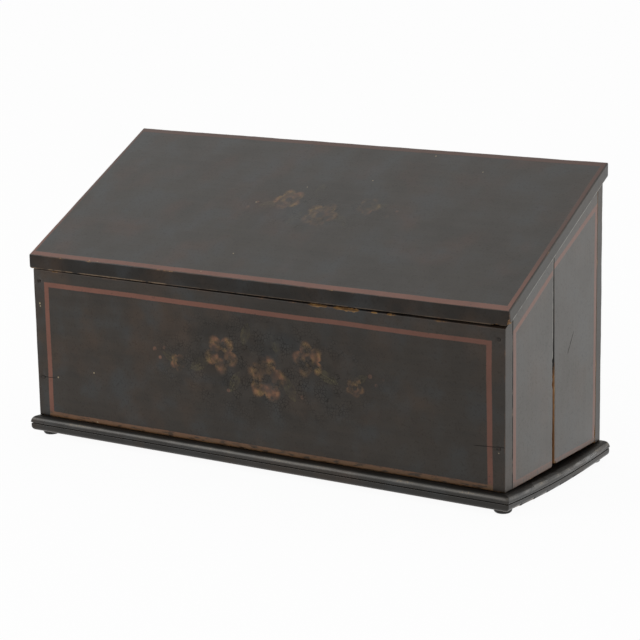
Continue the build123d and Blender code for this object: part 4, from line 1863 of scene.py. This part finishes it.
@dataclass
class Lid:
    """The sloping lid: lined, with a faint spray, its lower front arris splintered at one corner."""

    layout: Layout
    lip: float = 0.75
    lip_depth: float = 11.0
    lining: Lining = Lining(
        outer=((0.6, 0.7), (426.1, 0.4), (426.1, 172.6), (0.6, 172.6)),
        inner=((3.2, 4.9), (423.0, 5.3), (423.0, 167.8), (3.2, 167.8)),
    )
    spray: Spray = Spray(
        blossoms=(
            Blossom(190.0, 97.0, 14.5, 0.5), Blossom(227.0, 82.0, 17.0, 1.3), Blossom(262.0, 98.0, 12.0, 0.1),
        ),
        leaves=(
            Leaf(186.0, 92.0, 20.0, 9.0, 3.4), Leaf(210.0, 84.0, 18.0, 8.0, 4.4), Leaf(240.0, 86.0, 20.0, 9.0, 5.5),
            Leaf(212.0, 102.0, 18.0, 8.0, 1.7), Leaf(260.0, 94.0, 19.0, 8.0, 0.4),
        ),
        berries=(
            Berry(160.0, 84.0, 1.9), Berry(165.0, 91.0, 1.6), Berry(283.0, 88.0, 1.8), Berry(288.0, 95.0, 1.5),
        ),
        middle=(216.0, 84.0), reach=85.0, strength=0.55, crackled=0.35,
    )
    flecks: tuple[Fleck, ...] = (
        Fleck(60.0, 1.5, 0.6), Fleck(68.0, 1.2, 0.5), Fleck(165.0, 4.0, 0.6), Fleck(286.0, 165.0, 0.7),
        Fleck(334.0, 150.0, 0.6), Fleck(180.0, 28.0, 0.7),
    )
    # Painted highlights: pale lines along the lower front arris, partly worn paint, and along the lower arris of each
    # end.
    front_light: tuple[Split, ...] = (
        Split((1.0, 0.7), (135.0, 0.7), 0.8, 0.75), Split((110.0, 0.6), (428.0, 0.6), 0.6, 0.30),
    )
    end_light: tuple[Split, ...] = (Split((6.0, 0.9), (172.0, 0.9), 0.55, 0.9),)

    def _size(self) -> Triple:
        """The blank's size; its thickness is measured plumb.

        Returns:
            The three lengths.
        """
        lay = self.layout
        return (lay.lid.high.x - lay.lid.low.x, lay.lid.high.y - lay.lid.low.y,
                lay.lid_thickness / math.cos(lay.slope))

    def _place(self, blank: np.ndarray) -> np.ndarray:
        """Lays the blank on the slope, its front and rear edges plumb, with a slight lip under the front.

        Args:
            blank: The blank's vertices, across, up and through.

        Returns:
            The vertices in their place in the row frame.
        """
        lay = self.layout
        y = lay.lid.low.y + blank[:, 1]
        lip = self.lip * np.clip(1 - blank[:, 1] / self.lip_depth, 0, 1) * (1 - blank[:, 2] / self._size()[2])
        return np.stack([lay.lid.low.x + blank[:, 0], y, lay.lid_under(y) + blank[:, 2] - lip], axis=1)

    def _paint(self) -> OldPaint:
        """The decorated top's paint.

        Returns:
            The paint.
        """
        lay = self.layout
        top_z = lay.lid_under(lay.lid.low.y) + self._size()[2]
        up = (0.0, math.cos(lay.slope), math.sin(lay.slope))
        out = (0.0, -math.sin(lay.slope), math.cos(lay.slope))
        plane = FacePlane((lay.lid.low.x, lay.lid.low.y, top_z), (1, 0, 0), up, out)
        return OldPaint(
            way=Way.WIDE, plane=plane, lining=self.lining, spray=self.spray, flecks=self.flecks,
            lining_colour=tint("6a4539"), lining_far=tint("482f26"),
            low=tint("1a1815"), high=tint("302c27"), stain=tint("40291f"), rubbing=0.8, ior=1.525,
        )

    def _edge_paint(self) -> OldPaint:
        """The paint of the lid's long edges, with a painted highlight, partly worn paint, along the lower front
        arris.

        Returns:
            The paint.
        """
        lay = self.layout
        start = (lay.lid.low.x, lay.lid.low.y, lay.lid_under(lay.lid.low.y) - self.lip)
        plane = FacePlane(start, (1, 0, 0), (0, 0, 1), (0, -1, 0))
        return OldPaint(
            way=Way.WIDE, plane=plane, bright_edges=self.front_light, low=tint("100d0b"), high=tint("1f1a16"),
            rubbing=0.8, ior=1.34, edge_light=tint("7f6b55"),
        )

    def _end_paint(self) -> OldPaint:
        """The paint of the lid's ends, with a painted highlight along the lower arris.

        Returns:
            The paint.
        """
        lay = self.layout
        along = (0.0, math.cos(lay.slope), math.sin(lay.slope))
        square = (0.0, -math.sin(lay.slope), math.cos(lay.slope))
        plane = FacePlane((lay.lid.high.x, lay.lid.low.y, lay.lid_under(lay.lid.low.y)), along, square, (1, 0, 0))
        return OldPaint(
            way=Way.DEEP, plane=plane, bright_edges=self.end_light, low=tint("1e1b17"), high=tint("34302a"),
            rubbing=0.8, ior=1.6,
        )

    def build(self) -> bpy.types.Object:
        """Makes the lid.

        Returns:
            The finished piece.
        """
        lay, size = self.layout, self._size()
        breaks = (
            Break((size[0], 0, 0), (1, -1, -1), 2.2),
            Break((0, 0, 0), (0, -1, -1), 0.6, 0, 412.0, 425.0, 0.7),
            Break((size[0], 0, 0), (1, 0, -1), 0.6, 1, 2.0, 12.0, 0.6),
            Break((0, 0, size[2]), (0, -1, 1), 0.35, 0, 55.0, 74.0, 0.9),
            Break((0, 0, 0), (-1, -1, -1), 1.0, jagged=0.4),
        )
        seats = lay.hinge_seats(wood_above=True)
        leaf_reach = seats[0].leaf_width + HingeSeat.PLAY
        seat_edge = lay.pin[0] - leaf_reach * math.cos(lay.slope) - lay.lid.low.y
        board = Board(
            "painted_lid_board", "lid_board", "lid", size, self._place,
            covers(ends=Cover.END, bottom=Cover.EDGE, top=Cover.EDGE),
            arris_outer=(1.2, 1.2, 0.45, 1.6), arris_inner=(0.7, 1.1, 0.7, 0.8), uneven=0.25,
            windows_u=((402.0, 427.0, 0.9), (54.0, 75.0, 0.8), *lay.hinge_windows(lay.lid.low.x)),
            windows_v=((0.0, 14.0, 1.0), lay.seat_window(seat_edge), (size[1] - 3.6, size[1], 0.45)),
            breaks=breaks, hinge_seats=seats, seed=3.0,
        )
        wood = BarePine(Way.WIDE, (90.0, 14.0, 2.0))
        return board.build(board_finishes("lid_board", self._paint(), self._end_paint(), wood, self._edge_paint()))


@dataclass
class Base:
    """The moulded base board and its four turned button feet."""

    frame: dict[str, Any]

    def dress(self) -> None:
        """Paints the base and the feet."""
        paint = MouldingPaint(
            way=Way.WIDE, low=tint("100f0e"), high=tint("201e1c"), gloss=0.22, ior=1.47, wood_high=tint("8a7a62"),
        )
        dress(self.frame, ["base_board"], paint.material("base_paint"))
        turned = OldPaint(
            way=Way.TALL, low=tint("0d0c0c"), high=tint("1a1817"), gloss=0.45, ior=1.4, arris_marked=False,
        )
        feet = [name for name in self.frame["nodes"] if name.startswith("foot_")]
        dress(self.frame, feet, turned.material("foot_paint"))


@dataclass
class Rack:
    """The two dividers, one low and one tall, and the slips that hold their ends."""

    frame: dict[str, Any]
    divider_ring: float = 4.4
    divider_shift: Triple = (50.0, 7.0, 23.0)
    slip_ring: float = 2.8
    slip_shift: Triple = (13.0, 5.0, 31.0)

    def dress(self) -> None:
        """Gives the dividers and the slips their pine."""
        slips = sorted(name for name in self.frame["nodes"] if "_slip_" in name)
        self._dress_each(("front_divider", "rear_divider"), Way.WIDE, self.divider_ring, self.divider_shift)
        self._dress_each(slips, Way.TALL, self.slip_ring, self.slip_shift)

    def _dress_each(self, names: Iterable[str], way: Way, ring: float, shift: Triple) -> None:
        """Gives each of several pieces its own length of pine.

        Args:
            names: The nodes to dress.
            way: Which way their grain runs.
            ring: The width of a growth ring.
            shift: How far apart in the tree the pieces were cut, but for the middle number, which they share.
        """
        for number, name in enumerate(names):
            wood = BarePine(way, (shift[0] * number, shift[1], shift[2] * number), ring=ring)
            dress(self.frame, [name], wood.material(f"{name}_pine"))


@dataclass
class Metalwork:
    """The two butt hinges with their pins and screws, and the cut nails."""

    frame: dict[str, Any]

    def dress(self) -> None:
        """Finishes the brass and the iron."""
        for finish, called, mark in ((AGED_BRASS, "aged_brass", "hinge_"), (RUSTY_IRON, "rusty_iron", "nails")):
            names = [name for name in self.frame["nodes"] if mark in name]
            dress(self.frame, names, finish.material(called))


def dress(frame: dict[str, Any], names: Iterable[str], material: bpy.types.Material) -> None:
    """Gives carried-over pieces a finish.

    Args:
        frame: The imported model.
        names: The nodes to dress.
        material: What they wear.
    """
    for name in names:
        for slot in frame["nodes"][name].material_slots:
            slot.link = "OBJECT"
            slot.material = material
        log.info("%s: %s", name, material.name)


# ---------------------------------------------------------------------------
# Studio
# ---------------------------------------------------------------------------


@dataclass(frozen=True)
class SoftLamp:
    """A large soft lamp, in metres and watts."""

    name: str
    at: Triple
    aim: Triple
    size: tuple[float, float]
    power: float

    def build(self) -> None:
        """Hangs the lamp."""
        light = bpy.data.lights.new(self.name, "AREA")
        light.shape = "RECTANGLE"
        light.size, light.size_y = self.size
        light.energy = self.power
        lamp = bpy.data.objects.new(self.name, light)
        lamp.location = self.at
        way = Vector(self.aim) - Vector(self.at)
        lamp.rotation_euler = way.to_track_quat("-Z", "Y").to_euler()
        bpy.context.collection.objects.link(lamp)


@dataclass
class Studio:
    """A pale floor, soft light all round and the camera."""

    azimuth: float = 33.1473
    elevation: float = 12.9386
    roll: float = -1.0284
    at: Triple = (0.87876, -1.33158, 0.46762)
    lens: float = 120.06
    sensor: float = 36.0
    clip: tuple[float, float] = (0.05, 50.0)
    floor_size: float = 40.0
    floor_tone: Colour = (0.92, 0.92, 0.92)
    floor_glow: float = 0.95
    white: Colour = (1.0, 1.0, 1.0)
    sky: float = 0.68
    lamps: tuple[SoftLamp, ...] = (
        SoftLamp("right_rear_lamp", (1.35, 1.75, 0.28), (0.15, 0.0, 0.10), (2.4, 0.55), 2.5),
        SoftLamp("front_left_lamp", (-1.25, -1.35, 1.35), (-0.1, 0.0, 0.08), (1.4, 1.0), 10.0),
    )

    def build(self) -> None:
        """Sets up the floor, the light and the camera."""
        self._floor()
        self._sky()
        for lamp in self.lamps:
            lamp.build()
        self._camera()
        bpy.context.scene.view_settings.view_transform = "Standard"

    def _floor(self) -> None:
        """Lays the floor: white to the camera, but for the shadow."""
        half = self.floor_size / 2
        mesh = bpy.data.meshes.new("floor")
        mesh.from_pydata([(-half, -half, 0), (half, -half, 0), (half, half, 0), (-half, half, 0)], [], [(0, 1, 2, 3)])
        floor = bpy.data.objects.new("floor", mesh)
        bpy.context.collection.objects.link(floor)
        recipe = Recipe.for_material("pale_floor")
        seen = self._seen(recipe)
        lit = recipe.node("ShaderNodeBsdfDiffuse", feeds={"Color": self.floor_tone})["BSDF"]
        glow = recipe.node("ShaderNodeEmission", feeds={"Color": self.white, "Strength": 1.0})["Emission"]
        shares = {"Fac": seen * self.floor_glow, "Shader": lit, "Shader_001": glow}
        mixed = recipe.node("ShaderNodeMixShader", feeds=shares)
        recipe.node("ShaderNodeOutputMaterial", feeds={"Surface": mixed["Shader"]})
        mesh.materials.append(recipe.material)

    @staticmethod
    def _seen(recipe: Recipe) -> Wire:
        """1 for what the camera sees, straight or in a gloss or a glass."""
        path = recipe.node("ShaderNodeLightPath")
        return path["Is Camera Ray"].most(path["Is Glossy Ray"]).most(path["Is Transmission Ray"])

    def _sky(self) -> None:
        """Makes the even pale surround."""
        world = bpy.data.worlds.new("surround")
        bpy.context.scene.world = world
        world.use_nodes = True
        recipe = Recipe(world.node_tree)
        strength = self._seen(recipe) * (1.0 - self.sky) + self.sky
        glow = recipe.node("ShaderNodeBackground", feeds={"Color": self.white, "Strength": strength})
        recipe.node("ShaderNodeOutputWorld", feeds={"Surface": glow["Background"]})

    def _camera(self) -> None:
        """Sets up the camera."""
        data = bpy.data.cameras.new("camera")
        data.lens, data.sensor_width = self.lens, self.sensor
        data.clip_start, data.clip_end = self.clip
        camera = bpy.data.objects.new("camera", data)
        turn = Matrix.Rotation(math.radians(self.azimuth), 4, "Z")
        tip = Matrix.Rotation(math.radians(90 - self.elevation), 4, "X")
        lean = Matrix.Rotation(math.radians(self.roll), 4, "Z")
        camera.matrix_world = Matrix.Translation(self.at) @ turn @ tip @ lean
        bpy.context.collection.objects.link(camera)
        bpy.context.scene.camera = camera


def main() -> None:
    """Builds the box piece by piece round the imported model."""
    logging.basicConfig(level=logging.INFO, format="%(name)s: %(message)s")
    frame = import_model()
    layout = Layout()
    FrontBoard(layout).build()
    BackBoard(layout).build()
    for right in (False, True):
        for front in (True, False):
            SidePlank(layout, right, front).build()
    Lid(layout).build()
    Base(frame).dress()
    Rack(frame).dress()
    Metalwork(frame).dress()
    Studio().build()


if __name__ == "__main__":
    main()
